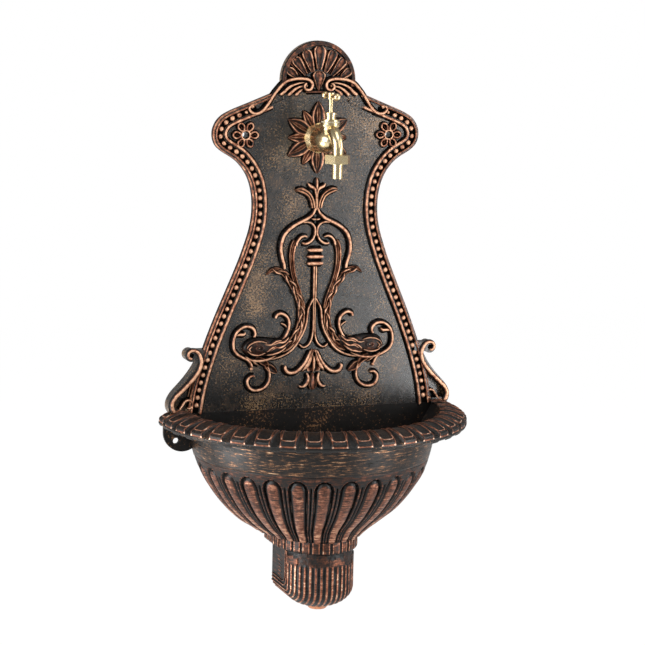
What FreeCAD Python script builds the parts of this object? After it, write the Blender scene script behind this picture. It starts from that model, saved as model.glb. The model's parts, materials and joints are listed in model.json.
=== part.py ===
import FreeCAD, Part

import math
import os

from FreeCAD import Vector

# Garden wall fountain: a cast back plate with scroll brackets, a half round basin,
# a drain cover under it and a brass bib tap with a T handle.
# Sizes are in millimetres. The wall is the plane y = 0, the front faces -Y, Z is up,
# and the origin lies midway between the two upper wall screws.

# Back plate
PLATE_DEPTH = 18.0
FIELD_RECESS = 2.6
PLATE_SKIN = 5.0
PLATE_EDGE_WALL = 5.0
BACK_EDGE_INSET = 3.0
BACK_EDGE_DEPTH = 8.0
SEAM_Z = -358.0
SHELL_CENTRE_Z = 70.0
SHELL_RADIUS = 50.4
SHOULDER_START = (64.0, 51.8)
SHELL_NECK = (55.2, 58.4)
EDGE_POINTS = [(64.0, 51.8), (90.0, 41.2), (118.0, 29.9), (131.5, 21.3), (138.6, 9.8),
               (140.0, -1.5), (136.6, -12.0), (128.5, -20.0), (110.0, -31.6), (98.0, -44.5),
               (90.4, -59.0), (86.3, -75.0), (85.0, -91.0), (85.8, -107.0), (88.8, -123.0),
               (94.4, -141.0), (103.4, -165.5), (117.6, -199.0), (131.2, -230.5),
               (145.4, -266.5), (156.4, -300.0), (163.8, -329.0), (168.6, -358.0)]
BORDER_WIDTH = 12.8
INNER_RAIL_WIDTH = 4.6
OUTER_RAIL_WIDTH = 3.2
OUTER_RAIL_INSET = 0.5
INNER_RAIL_START = (48.0, 58.2)

# Side brackets
BRACKET_BAND = 5.4
BRACKET_WEB_FRONT = 8.0
BRACKET_WEB_BACK = 3.0
BRACKET_EDGE = [(149.0, -281.0), (155.0, -288.5), (160.6, -298.5), (169.0, -310.5), (178.6, -321.5),
                (187.6, -331.0), (193.8, -341.0), (195.2, -349.5), (192.0, -357.9)]
BRACKET_CURL_CENTRE = (165.3, -282.6)
BRACKET_CURL_RADIUS = 8.2
BRACKET_CURL_EYE = 3.2
BRACKET_FOOT_WIDTH = 22.0
BRACKET_FOOT_HEIGHT = 6.0

# Wall screws
UPPER_HOLE_SPACING = 195.4
LOWER_HOLE_SPACING = 362.0
LOWER_HOLE_Z = -396.0
SCREW_HOLE_RADIUS = 4.0
BOSS_RADIUS = 11.0
EAR_RADIUS = 25.5
EAR_CENTRE_X = 172.0
EAR_CENTRE_Z = -385.0
EAR_THICKNESS = 5.0

# Basin, as half width, centre line and front reach at each height of its outside
BOWL_OUTSIDE = [(-518.0, 69.0, 2.0, 103.0), (-511.0, 77.5, 2.0, 106.0), (-499.0, 94.4, 4.0, 113.0),
                (-476.0, 116.4, 15.5, 136.4), (-447.0, 136.4, 20.5, 157.4), (-423.0, 147.8, 21.5, 166.8),
                (-400.0, 158.6, 18.0, 175.0), (-380.0, 160.3, 16.0, 178.0)]
RIM_LINE_HALF_WIDTH = 181.0
RIM_LINE_CENTRE = 22.0
RIM_LINE_FRONT = 195.0
RIM_UNDERSIDE = [(-24.0, -384.0), (-19.0, -380.6), (-13.0, -378.6), (-3.0, -376.8), (10.0, -375.2), (18.5, -374.0)]
RIM_NOSE = [(18.5, -374.0), (22.3, -371.6), (21.0, -368.6)]
RIM_TOP = [(21.0, -368.6), (16.5, -365.6), (10.5, -362.4), (4.0, -359.8), (-3.0, -358.3), (-12.0, -358.8)]
RIM_INSIDE_HALF_WIDTH = 172.0
RIM_INSIDE_FRONT = 185.0
RIM_THROAT_Z = -384.0
BASIN_WALL = 5.0
BASIN_FLOOR = 4.5
BASIN_BACK_FRONT = 16.0
BASIN_BACK_SKIN = 6.0
INSIDE_CENTRE_GAP = 2.0

# Drain
DRAIN_Y = -56.0
WASTE_HOLE_RADIUS = 17.0
WASTE_TAIL_RADIUS = 16.5
WASTE_BORE_RADIUS = 13.0
WASTE_TAIL_LENGTH = 44.0
WASTE_FLANGE_RADIUS = 25.0
WASTE_FLANGE_THICKNESS = 2.5
WASTE_BAR = 3.0
GASKET_THICKNESS = 1.6
WASTE_NUT_RADIUS = 27.0
WASTE_NUT_HEIGHT = 8.0
WASTE_WASHER_THICKNESS = 2.0

# Drain cover
COLLAR_HALF_WIDTH = 54.0
COLLAR_CENTRE = 34.0
COLLAR_FRONT = 103.0
COLLAR_WALL = 4.0
COLLAR_TOP_GAP = 0.2
COLLAR_HEIGHT = 16.0
COVER_RADIUS = 44.5
COVER_WALL = 4.0
COVER_TURN_Z = -585.5
COVER_DROP = 27.0
STUD_RADIUS = 4.0
STUD_CLEARANCE = 0.3
FINIAL_RADIUS = 15.5
FINIAL_HEIGHT = 5.0

# Plate to basin fixings
JOINT_BOLT_X = 92.0
JOINT_BOLT_Z = -340.0
JOINT_LUG_WIDTH = 24.0
JOINT_LUG_THICKNESS = 3.0
JOINT_LUG_RISE = 30.0
JOINT_BOLT_RADIUS = 3.0
JOINT_HOLE_RADIUS = 3.3
JOINT_STUD_BOSS = 7.0
JOINT_NUT_SIZE = 10.0
JOINT_NUT_HEIGHT = 4.0
JOINT_WASHER_RADIUS = 7.0
JOINT_WASHER_THICKNESS = 1.2

# Tap
TAP_Z = -4.0
TAP_TAIL_RADIUS = 10.45
TAP_TAIL_END_Y = 14.0
TAP_TAIL_BORE = 7.0
TAP_TIP_RADIUS = 9.3
TAP_TIP_LENGTH = 15.0
TAP_HOLE_RADIUS = 11.0
WALL_FLANGE_RADIUS = 20.0
WALL_FLANGE_THICKNESS = 5.0
WALL_DOME_LENGTH = 10.0
TAP_BARREL_RADIUS = 12.5
VALVE_Y = -64.0
CHAMBER_RADIUS = 12.5
CHAMBER_TOP = 19.5
CHAMBER_BOTTOM = -15.0
BULB_RADIUS = 16.5
BULB_Y = -60.0
CHAMBER_BORE = 9.0
SEAT_BORE = 5.0
SEAT_TOP = -6.0
SEAT_THICKNESS = 3.0
SPOUT_Y = -93.0
SPOUT_RADIUS = 7.4
SPOUT_BORE = 4.8
SPOUT_START_Z = 5.0
SPOUT_END_Z = -28.0
SPOUT_BEND = 14.0
THREAD_CLEARANCE = 0.05
SPOUT_THREAD_RADIUS = 10.0
SPOUT_THREAD_LENGTH = 7.0
BACK_NUT_RADIUS = 16.0
BACK_NUT_HEIGHT = 5.0
BACK_WASHER_RADIUS = 15.0
BACK_WASHER_THICKNESS = 1.8

# Tap headwork
BONNET_FLANGE_RADIUS = 11.5
BONNET_FLANGE_HEIGHT = 2.5
BONNET_RADIUS = 6.6
BONNET_TOP = 29.5
BONNET_THREAD_RADIUS = 8.9
BONNET_SINK = 14.0
HEAD_WASHER_THICKNESS = 1.0
SPINDLE_RADIUS = 2.7
SPINDLE_CLEARANCE = 0.05
SPINDLE_TOP = 56.0
SPINDLE_COLLAR_RADIUS = 4.2
SPINDLE_COLLAR_HEIGHT = 2.0
SPINDLE_COLLAR_TOP = 17.0
SPINDLE_SCREW_RADIUS = 3.0
SPINDLE_TIP = 3.6
COLLAR_END_PLAY = 0.05
GLAND_RADIUS = 8.0
GLAND_HEIGHT = 2.2
PACKING_DEPTH = 6.0
PACKING_RADIUS = 4.6
HANDLE_Z = 52.5
HANDLE_HALF_LENGTH = 22.0
HANDLE_BAR_RADIUS = 2.6
HANDLE_BALL_RADIUS = 4.7
HANDLE_HUB_RADIUS = 4.6
HANDLE_HUB_HEIGHT = 8.0
VALVE_LIFT = 4.5
VALVE_GAP = 0.3
CARRIER_PLATE_RADIUS = 7.0
CARRIER_PLATE_THICKNESS = 2.0
CARRIER_RADIUS = 6.2
CARRIER_FLATS = 10.4
CARRIER_TOP = 10.0
CARRIER_CLEARANCE = 0.08
SCREW_CLEARANCE = 0.05
VALVE_WASHER_THICKNESS = 2.5

# Outlet
UNION_NUT_RADIUS = 16.8
UNION_NUT_HEIGHT = 11.0
UNION_NUT_TOP = -19.5
UNION_NUT_SIDES = 6
NOZZLE_RADIUS = 7.2
NOZZLE_BORE = 5.2
NOZZLE_END_Z = -49.5
NOZZLE_LIP_RADIUS = 9.6
NOZZLE_LIP_HEIGHT = 2.0
NOZZLE_WASHER_HEIGHT = 1.5
NOZZLE_GAP = 0.15

FORWARD = Vector(0, -1, 0)
BACKWARD = Vector(0, 1, 0)
UP = Vector(0, 0, 1)
DOWN = Vector(0, 0, -1)


def save(name, solids):
    """Write one node; several solids stay separate in it."""
    shape = solids[0] if len(solids) == 1 else Part.makeCompound(solids)
    shape.exportStep("parts/" + name + ".step")


def joined(first, *others):
    """One solid from shapes that overlap."""
    return first.fuse(list(others)).removeSplitter()


def rod(radius, length, base, direction):
    return Part.makeCylinder(radius, length, base, direction)


def sleeve(outer, inner, length, base, direction):
    return rod(outer, length, base, direction).cut(rod(inner, length, base, direction))


def nut_blank(corner_radius, height, base, direction, sides=6):
    """A prism with regular sides around an axis."""
    ring = Part.makePolygon([Vector(corner_radius * math.cos(2 * math.pi * i / sides),
                                    corner_radius * math.sin(2 * math.pi * i / sides), 0)
                             for i in range(sides + 1)])
    prism = Part.Face(ring).extrude(Vector(0, 0, height))
    turn = FreeCAD.Rotation(UP, direction)
    prism.Placement = FreeCAD.Placement(base, turn)
    return prism


def mirrored(shape):
    """The same shape on the other side of the middle plane."""
    return shape.mirror(Vector(0, 0, 0), Vector(1, 0, 0))


def on_plate(point, y=0.0):
    """A point of the front view, given as x and z."""
    return Vector(point[0], y, point[1])


def smooth_curve(points, y=0.0):
    curve = Part.BSplineCurve()
    curve.interpolate([on_plate(p, y) for p in points])
    return curve


def inset_curve(curve, distance, samples=70):
    """A curve beside another one in the front view, towards the left of its travel from above."""
    first, last = curve.FirstParameter, curve.LastParameter
    points = []
    for i in range(samples + 1):
        at = first + (last - first) * i / samples
        spot = curve.value(at)
        along = curve.tangent(at)[0]
        points.append((spot.x + distance * along.z, spot.z - distance * along.x))
    return smooth_curve(points)


def strip_face(curve, near, far):
    """A flat band between two insets of one curve."""
    one = inset_curve(curve, near)
    two = inset_curve(curve, far)
    start = Part.LineSegment(one.StartPoint, two.StartPoint)
    end = Part.LineSegment(two.EndPoint, one.EndPoint)
    edges = [one.toShape(), end.toShape(), two.toShape(), start.toShape()]
    return Part.Face(Part.Wire(Part.__sortEdges__(edges)))


def extruded(face, front, back):
    """A flat face of the front view, thickened between two depths from the wall."""
    moved = face.copy()
    moved.translate(Vector(0, -back, 0))
    return moved.extrude(Vector(0, back - front, 0))


def side_edge(start=None):
    """The right edge from the shoulder to the seam, with an earlier start where one is given."""
    return smooth_curve(([start] if start else []) + EDGE_POINTS)


def mirrored_edge(edge):
    return edge.mirror(Vector(0, 0, 0), Vector(1, 0, 0))


def plate_face(inset=0.0):
    """The outline of the plate without its brackets, or the same outline drawn in by a wall."""
    side = inset_curve(side_edge(), inset) if inset else side_edge()
    radius = SHELL_RADIUS - inset
    centre = (0.0, SHELL_CENTRE_Z)
    lift = math.radians(-5.0)
    shell_end = (radius * math.cos(lift), centre[1] + radius * math.sin(lift))
    slope = math.atan2(SHOULDER_START[1] - shell_end[1], SHOULDER_START[0] - shell_end[0])
    neck = (SHELL_NECK[0] + inset * math.sin(slope), SHELL_NECK[1] - inset * math.cos(slope))
    right = [side.toShape(),
             Part.Arc(side.StartPoint, on_plate(neck), on_plate(shell_end)).toShape()]
    left = [mirrored_edge(edge) for edge in right]
    crown = Part.Arc(on_plate(shell_end), on_plate((0.0, centre[1] + radius)),
                     on_plate((-shell_end[0], shell_end[1]))).toShape()
    foot = Part.LineSegment(side.EndPoint, on_plate((-side.EndPoint.x, side.EndPoint.z))).toShape()
    return Part.Face(Part.Wire(Part.__sortEdges__(right + left + [crown, foot])))


def bracket():
    """The right scroll bracket: a band along its edge, a curl, a web and a foot."""
    edge = smooth_curve(BRACKET_EDGE)
    band = extruded(strip_face(edge, 0.0, BRACKET_BAND), 0.0, PLATE_DEPTH)
    root_x = EDGE_POINTS[-2][0] - BORDER_WIDTH
    corners = [(x - BRACKET_BAND / 2, z) for x, z in BRACKET_EDGE[2:-1]]
    corners += [(BRACKET_EDGE[-1][0] - BRACKET_BAND, SEAM_Z), (root_x, SEAM_Z), (root_x - 8.0, corners[0][1])]
    web = extruded(Part.Face(Part.makePolygon([on_plate(c) for c in corners + corners[:1]])),
                   BRACKET_WEB_BACK, BRACKET_WEB_FRONT)
    curl = rod(BRACKET_CURL_RADIUS, PLATE_DEPTH, on_plate(BRACKET_CURL_CENTRE), FORWARD)
    eye = rod(BRACKET_CURL_EYE, PLATE_DEPTH, on_plate(BRACKET_CURL_CENTRE, -BRACKET_WEB_FRONT), FORWARD)
    neck_top = BRACKET_CURL_CENTRE[1] + BRACKET_CURL_RADIUS * 0.8
    neck = Part.makeBox(BRACKET_CURL_CENTRE[0] - 6.0 - (BRACKET_EDGE[0][0] - 6.0), PLATE_DEPTH,
                        BRACKET_CURL_RADIUS * 1.4,
                        Vector(BRACKET_EDGE[0][0] - 6.0, -PLATE_DEPTH,
                               neck_top - BRACKET_CURL_RADIUS * 1.4))
    foot = Part.makeBox(BRACKET_FOOT_WIDTH, PLATE_DEPTH - 1.0, BRACKET_FOOT_HEIGHT,
                        Vector(BRACKET_EDGE[-1][0] - 1.0 - BRACKET_FOOT_WIDTH, -PLATE_DEPTH + 0.5, SEAM_Z))
    return joined(band, web, curl, neck, foot).cut(eye)


def back_plate():
    """The cast plate: skin, edge flange, border rails, brackets, screw bosses and lugs."""
    field_y = PLATE_DEPTH - FIELD_RECESS
    body = extruded(plate_face(), BACK_EDGE_DEPTH, field_y)
    body = body.fuse(extruded(plate_face(BACK_EDGE_INSET), 0.0, BACK_EDGE_DEPTH + 1.0))
    body = body.cut(extruded(plate_face(BACK_EDGE_INSET + PLATE_EDGE_WALL), -1.0, field_y - PLATE_SKIN))
    edge = side_edge()
    outer_rail = extruded(strip_face(edge, OUTER_RAIL_INSET, OUTER_RAIL_INSET + OUTER_RAIL_WIDTH),
                          field_y - 1.0, PLATE_DEPTH)
    inner_rail = extruded(strip_face(side_edge(INNER_RAIL_START), BORDER_WIDTH,
                                     BORDER_WIDTH + INNER_RAIL_WIDTH), field_y - 1.0, PLATE_DEPTH)
    right = [outer_rail, inner_rail, bracket()]
    body = joined(body, *right, *[mirrored(piece) for piece in right])
    for side in (-1, 1):
        hole_x = side * UPPER_HOLE_SPACING / 2
        body = body.fuse(rod(BOSS_RADIUS, field_y - 1.0, Vector(hole_x, 0, 0), FORWARD))
        lug_x = side * JOINT_BOLT_X
        lug = Part.makeBox(JOINT_LUG_WIDTH, JOINT_LUG_THICKNESS, JOINT_LUG_RISE,
                           Vector(lug_x - JOINT_LUG_WIDTH / 2, 0, 0))
        body = body.fuse(rod(JOINT_STUD_BOSS, field_y - 1.0 - joint_lug_front(),
                             Vector(lug_x, -joint_lug_front(), JOINT_BOLT_Z), FORWARD))
        body = body.cut(rod(SCREW_HOLE_RADIUS, 2 * PLATE_DEPTH, Vector(hole_x, PLATE_DEPTH / 2, 0), FORWARD))
        body = body.cut(rod(JOINT_BOLT_RADIUS + THREAD_CLEARANCE, 6.0 + 1.0,
                            Vector(lug_x, -joint_lug_front() + 1.0, JOINT_BOLT_Z), FORWARD))
    body = body.fuse(rod(BACK_WASHER_RADIUS + 3.0, PLATE_SKIN, Vector(0, -(field_y - PLATE_SKIN), TAP_Z), FORWARD))
    body = body.cut(rod(TAP_HOLE_RADIUS, 2 * PLATE_DEPTH, Vector(0, PLATE_DEPTH / 2, TAP_Z), FORWARD))
    body = body.cut(Part.makeBox(500.0, 100.0, 50.0, Vector(-250.0, -50.0, SEAM_Z - 50.0)))
    return body.removeSplitter()


def joint_lug_front():
    """Depth of the front face of the basin's lugs."""
    return JOINT_NUT_HEIGHT + JOINT_WASHER_THICKNESS + JOINT_LUG_THICKNESS


def plan_points(half_width, centre, front, z, steps):
    """Points of half an ellipse in front of a centre line, from left to right."""
    turns = [math.pi * i / steps for i in range(steps + 1)]
    return [Vector(-half_width * math.cos(turn), -centre - (front - centre) * math.sin(turn), z)
            for turn in turns]


def plan_wire(half_width, centre, front, z, back=0.0):
    """A closed D in plan: flat along the wall, half an ellipse in front of a centre line."""
    points = plan_points(half_width, centre, front, z, 16)
    curve = Part.BSplineCurve()
    curve.interpolate(Points=points, InitialTangent=FORWARD, FinalTangent=BACKWARD)
    left = Part.LineSegment(Vector(-half_width, -back, z), points[0]).toShape()
    right = Part.LineSegment(points[-1], Vector(half_width, -back, z)).toShape()
    wall = Part.LineSegment(Vector(half_width, -back, z), Vector(-half_width, -back, z)).toShape()
    return Part.Wire([left, curve.toShape(), right, wall])


def plan_loft(sections, back=0.0, ruled=False):
    wires = [plan_wire(width, centre, front, z, back) for z, width, centre, front in sections]
    return Part.makeLoft(wires, True, ruled)


def drawn_in(section, wall):
    """A section of the hollow, with its centre line kept in front of the basin's back wall."""
    z, width, centre, front = section
    shift = max(0.0, BASIN_BACK_FRONT + INSIDE_CENTRE_GAP - centre)
    return (z, width - wall - 0.2 * shift, centre + shift, front - wall - 0.1 * shift)


def basin_inside():
    """The hollow of the bowl, from its floor to above the rim."""
    floor_z = BOWL_OUTSIDE[0][0] + BASIN_FLOOR
    lowest = drawn_in(BOWL_OUTSIDE[0], BASIN_WALL)
    sections = [(floor_z,) + lowest[1:]]
    sections += [drawn_in(s, BASIN_WALL) for s in BOWL_OUTSIDE[2:-1]]
    hollow = plan_loft(sections, BASIN_BACK_FRONT)
    throat = drawn_in(BOWL_OUTSIDE[-2], BASIN_WALL)
    mouth = (SEAM_Z, RIM_INSIDE_HALF_WIDTH, RIM_LINE_CENTRE, RIM_INSIDE_FRONT)
    bend = (RIM_THROAT_Z, throat[1] + 3.0, throat[2], throat[3] + 3.0)
    neck = plan_loft([throat, bend, mouth], BASIN_BACK_FRONT, True)
    clear = plan_loft([mouth, (SEAM_Z + 30.0,) + mouth[1:]], BASIN_BACK_FRONT, True)
    return joined(hollow, neck, clear)


def rim():
    """The overhanging rim, one profile carried around the plan of the basin."""
    def at(point):
        return Vector(-RIM_LINE_HALF_WIDTH - point[0], 0, point[1])

    width = RIM_LINE_HALF_WIDTH
    points = plan_points(width, RIM_LINE_CENTRE, RIM_LINE_FRONT, 0.0, 20)
    start = [Vector(-width, 0, 0), Vector(-width, -RIM_LINE_CENTRE / 2, 0)]
    end = [Vector(width, -RIM_LINE_CENTRE / 2, 0), Vector(width, 0, 0)]
    path = Part.BSplineCurve()
    path.interpolate(Points=start + points + end, InitialTangent=FORWARD, FinalTangent=BACKWARD)
    edges = []
    for points in (RIM_UNDERSIDE, RIM_TOP):
        curve = Part.BSplineCurve()
        curve.interpolate([at(p) for p in points])
        edges.append(curve.toShape())
    edges.append(Part.Arc(*[at(p) for p in RIM_NOSE]).toShape())
    inner = [RIM_TOP[-1], (-30.0, RIM_TOP[-1][1]), (-30.0, RIM_UNDERSIDE[0][1]), RIM_UNDERSIDE[0]]
    edges += Part.makePolygon([at(p) for p in inner]).Edges
    profile = Part.Wire(Part.__sortEdges__(edges))
    sweep = Part.BRepOffsetAPI.MakePipeShell(Part.Wire(path.toShape()))
    sweep.setBiNormalMode(UP)
    sweep.add(profile)
    sweep.build()
    sweep.makeSolid()
    return sweep.shape()


def ear(side):
    """One lower wall ear, level with the wall and tucked under the rim."""
    x = side * EAR_CENTRE_X
    top_z = RIM_UNDERSIDE[-2][1] + 1.0
    root_x = BOWL_OUTSIDE[-2][1] - BASIN_WALL + 1.0
    disc = rod(EAR_RADIUS, EAR_THICKNESS, Vector(x, 0, EAR_CENTRE_Z), FORWARD)
    reach_x = abs(x) + EAR_RADIUS
    web = Part.makeBox(reach_x - root_x, EAR_THICKNESS, top_z - EAR_CENTRE_Z,
                       Vector(min(side * root_x, side * reach_x), -EAR_THICKNESS, EAR_CENTRE_Z))
    return disc.fuse(web)


def joint_lug(side):
    """One lug of the basin, standing up behind the plate."""
    left = side * JOINT_BOLT_X - JOINT_LUG_WIDTH / 2
    low = SEAM_Z - JOINT_LUG_RISE / 2
    front = joint_lug_front()
    lug = Part.makeBox(JOINT_LUG_WIDTH, JOINT_LUG_THICKNESS, JOINT_BOLT_Z + JOINT_LUG_WIDTH / 2 - low,
                       Vector(left, -front, low))
    web = Part.makeBox(JOINT_LUG_WIDTH, BASIN_BACK_FRONT - BASIN_BACK_SKIN / 2 - front + JOINT_LUG_THICKNESS,
                       SEAM_Z - 4.0 - low, Vector(left, -BASIN_BACK_FRONT + BASIN_BACK_SKIN / 2, low))
    hole = rod(JOINT_HOLE_RADIUS, PLATE_DEPTH, Vector(side * JOINT_BOLT_X, 0, JOINT_BOLT_Z), FORWARD)
    return joined(lug, web).cut(hole)


def basin():
    """The cast half round basin with its rim, back wall, ears and lugs."""
    low_z = RIM_UNDERSIDE[0][1]
    half_width = RIM_INSIDE_HALF_WIDTH + 3.0
    corners = [(-half_width, SEAM_Z), (half_width, SEAM_Z), (BOWL_OUTSIDE[-1][1] - 2.0, low_z),
               (-BOWL_OUTSIDE[-1][1] + 2.0, low_z)]
    upstand = extruded(Part.Face(Part.makePolygon([on_plate(c) for c in corners + corners[:1]])),
                       0.0, BASIN_BACK_FRONT)
    body = plan_loft(BOWL_OUTSIDE).fuse([rim(), upstand]).cut(basin_inside()).removeSplitter()
    body = joined(body, ear(-1), ear(1))
    width = 2 * (BOWL_OUTSIDE[3][1] - BASIN_WALL)
    low = BOWL_OUTSIDE[3][0]
    depth = BASIN_BACK_FRONT - BASIN_BACK_SKIN
    body = body.cut(Part.makeBox(width, depth + 1.0, SEAM_Z - low + 1.0, Vector(-width / 2, -depth, low)))
    body = joined(body, joint_lug(-1), joint_lug(1))
    for side in (-1, 1):
        screw = Vector(side * LOWER_HOLE_SPACING / 2, PLATE_DEPTH / 2, LOWER_HOLE_Z)
        body = body.cut(rod(SCREW_HOLE_RADIUS, 2 * PLATE_DEPTH, screw, FORWARD))
    waste = rod(WASTE_HOLE_RADIUS, 40.0, Vector(0, DRAIN_Y, BOWL_OUTSIDE[0][0] - 10.0), UP)
    return body.cut(waste)


def basin_floor_z():
    return BOWL_OUTSIDE[0][0] + BASIN_FLOOR


def waste_fitting():
    """Flange with a cross grating, and its tail with a bar that holds the stud."""
    top = basin_floor_z() + GASKET_THICKNESS + WASTE_FLANGE_THICKNESS
    centre = Vector(0, DRAIN_Y, top)
    flange = rod(WASTE_FLANGE_RADIUS, WASTE_FLANGE_THICKNESS, centre, DOWN)
    length = WASTE_TAIL_LENGTH + WASTE_FLANGE_THICKNESS
    tail = rod(WASTE_TAIL_RADIUS, length, centre, DOWN)
    body = joined(flange, tail).cut(rod(WASTE_BORE_RADIUS, length, centre, DOWN))
    span = 2 * WASTE_BORE_RADIUS + 2.0
    bars = []
    for turn in (0, 90):
        bar = Part.makeBox(span, WASTE_BAR, WASTE_BAR, Vector(-span / 2, -WASTE_BAR / 2, 0))
        bar.rotate(Vector(0, 0, 0), UP, turn)
        bar.translate(Vector(0, DRAIN_Y, top - WASTE_BAR))
        bars.append(bar)
    low = top - length
    holder = Part.makeBox(span, 3 * STUD_RADIUS, WASTE_TAIL_RADIUS / 2,
                          Vector(-span / 2, DRAIN_Y - 1.5 * STUD_RADIUS, low))
    body = joined(body, holder, *bars)
    return body.cut(rod(STUD_RADIUS + THREAD_CLEARANCE, WASTE_TAIL_RADIUS / 2, Vector(0, DRAIN_Y, low), UP))


def waste_low_z():
    return basin_floor_z() + GASKET_THICKNESS - WASTE_TAIL_LENGTH


def waste_gasket():
    return sleeve(WASTE_FLANGE_RADIUS - 1.0, WASTE_TAIL_RADIUS + 0.1, GASKET_THICKNESS,
                  Vector(0, DRAIN_Y, basin_floor_z()), UP)


def waste_washer():
    return sleeve(WASTE_NUT_RADIUS - 3.0, WASTE_TAIL_RADIUS + 0.1, WASTE_WASHER_THICKNESS,
                  Vector(0, DRAIN_Y, BOWL_OUTSIDE[0][0]), DOWN)


def waste_nut():
    base = Vector(0, DRAIN_Y, BOWL_OUTSIDE[0][0] - WASTE_WASHER_THICKNESS)
    blank = nut_blank(WASTE_NUT_RADIUS, WASTE_NUT_HEIGHT, base, DOWN)
    return blank.cut(rod(WASTE_TAIL_RADIUS + THREAD_CLEARANCE, WASTE_NUT_HEIGHT, base, DOWN))


def cover_blank(radius, drop, top_z, past_wall=0.0):
    """A U in plan that turns under towards the wall at its foot."""
    height = top_z - COVER_TURN_Z
    reach = past_wall - DRAIN_Y
    centre = Vector(0, DRAIN_Y, COVER_TURN_Z)
    post = Part.makeCylinder(radius, height, centre, UP, 180)
    post.rotate(centre, UP, 180)
    block = Part.makeBox(2 * radius, reach, height, Vector(-radius, DRAIN_Y, COVER_TURN_Z))
    trough = Part.makeCylinder(radius, reach, Vector(0, 0, 0), BACKWARD)
    bulb = Part.makeSphere(radius)
    lower = Part.makeBox(4 * radius, 4 * radius, 2 * radius, Vector(-2 * radius, -2 * radius, -2 * radius))
    front = Part.makeBox(4 * radius, 2 * radius, 4 * radius, Vector(-2 * radius, -2 * radius, -2 * radius))
    turned = trough.common(lower).fuse(bulb.common(front).common(lower))
    flatten = FreeCAD.Matrix()
    flatten.scale(1.0, 1.0, drop / radius)
    turned = turned.transformGeometry(flatten)
    turned.translate(centre)
    return post.fuse([block, turned]).removeSplitter()


def drain_cover():
    """The collar and the cover under the bowl, open towards the wall."""
    top = BOWL_OUTSIDE[0][0] - COLLAR_TOP_GAP
    low = top - COLLAR_HEIGHT
    plan = (COLLAR_HALF_WIDTH, COLLAR_CENTRE, COLLAR_FRONT)
    room_plan = (COLLAR_HALF_WIDTH - COLLAR_WALL, COLLAR_CENTRE, COLLAR_FRONT - COLLAR_WALL)
    collar = plan_loft([(low,) + plan, (top,) + plan], 0.0, True)
    room = plan_loft([(low + COLLAR_WALL,) + room_plan, (top + 1.0,) + room_plan], -1.0, True)
    body = joined(collar, cover_blank(COVER_RADIUS, COVER_DROP, low + 1.0))
    hollow = cover_blank(COVER_RADIUS - COVER_WALL, COVER_DROP - COVER_WALL, low + COLLAR_WALL + 1.0, 1.0)
    body = body.cut(hollow).cut(room)
    hole = rod(STUD_RADIUS + STUD_CLEARANCE, 30.0, Vector(0, DRAIN_Y, COVER_TURN_Z - COVER_DROP - 5.0), UP)
    return body.cut(hole)


def cover_stud():
    low = COVER_TURN_Z - COVER_DROP - FINIAL_HEIGHT / 2
    return rod(STUD_RADIUS, waste_low_z() + WASTE_TAIL_RADIUS / 2 - low, Vector(0, DRAIN_Y, low), UP)


def finial_nut():
    """The turned button that holds the cover from below."""
    top = COVER_TURN_Z - COVER_DROP
    base = Vector(0, DRAIN_Y, top)
    button = Part.makeCone(FINIAL_RADIUS, FINIAL_RADIUS - 4.0, FINIAL_HEIGHT, base, DOWN)
    return button.cut(rod(STUD_RADIUS + THREAD_CLEARANCE, FINIAL_HEIGHT / 2, base, DOWN))


def joint_pair(make):
    return [make(side * JOINT_BOLT_X) for side in (-1, 1)]


def joint_stud(x):
    """A stud in the plate's boss, with its free end behind the basin's lug."""
    tip = 0.6
    length = joint_lug_front() + 6.0 - tip
    return rod(JOINT_BOLT_RADIUS, length, Vector(x, -tip, JOINT_BOLT_Z), FORWARD)


def joint_washer(x):
    base = Vector(x, -JOINT_NUT_HEIGHT, JOINT_BOLT_Z)
    return sleeve(JOINT_WASHER_RADIUS, JOINT_HOLE_RADIUS, JOINT_WASHER_THICKNESS, base, FORWARD)


def joint_nut(x):
    base = Vector(x, -JOINT_NUT_HEIGHT, JOINT_BOLT_Z)
    blank = nut_blank(JOINT_NUT_SIZE / math.sqrt(3), JOINT_NUT_HEIGHT, base, BACKWARD)
    return blank.cut(rod(JOINT_BOLT_RADIUS + THREAD_CLEARANCE, JOINT_NUT_HEIGHT, base, BACKWARD))


def plate_field_y():
    return -(PLATE_DEPTH - FIELD_RECESS)


def plate_back_y():
    return plate_field_y() + PLATE_SKIN


def wall_flange():
    """The faceted rosette between the plate and the tap's barrel."""
    base = Vector(0, plate_field_y(), TAP_Z)
    plinth = nut_blank(WALL_FLANGE_RADIUS, WALL_FLANGE_THICKNESS, base, FORWARD, 8)
    dome_base = Vector(0, plate_field_y() - WALL_FLANGE_THICKNESS, TAP_Z)
    dome = Part.makeCone(WALL_FLANGE_RADIUS * 0.92, TAP_BARREL_RADIUS, WALL_DOME_LENGTH, dome_base, FORWARD)
    return joined(plinth, dome).cut(rod(TAP_HOLE_RADIUS, 20.0, base, FORWARD))


def rounded_corner(corner, before, after, tangent_length):
    """Start, middle and end of the arc that rounds a corner between two directions."""
    entry = corner - before * tangent_length
    leave = corner + after * tangent_length
    half_turn = math.acos(before.dot(after)) / 2
    radius = tangent_length / math.tan(half_turn)
    inward = (after - before).normalize()
    middle = corner + inward * (radius / math.cos(half_turn) - radius)
    return entry, middle, leave


def spout_path(z_low):
    """Forward out of the valve chamber, then down to the outlet."""
    start = Vector(0, VALVE_Y - 4.0, SPOUT_START_Z + 4.0)
    corner = Vector(0, SPOUT_Y, SPOUT_START_Z - 4.0)
    along = (corner - start).normalize()
    entry, middle, leave = rounded_corner(corner, along, DOWN, SPOUT_BEND)
    return Part.Wire([Part.LineSegment(start, entry).toShape(),
                      Part.Arc(entry, middle, leave).toShape(),
                      Part.LineSegment(leave, Vector(0, SPOUT_Y, z_low)).toShape()])


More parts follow.
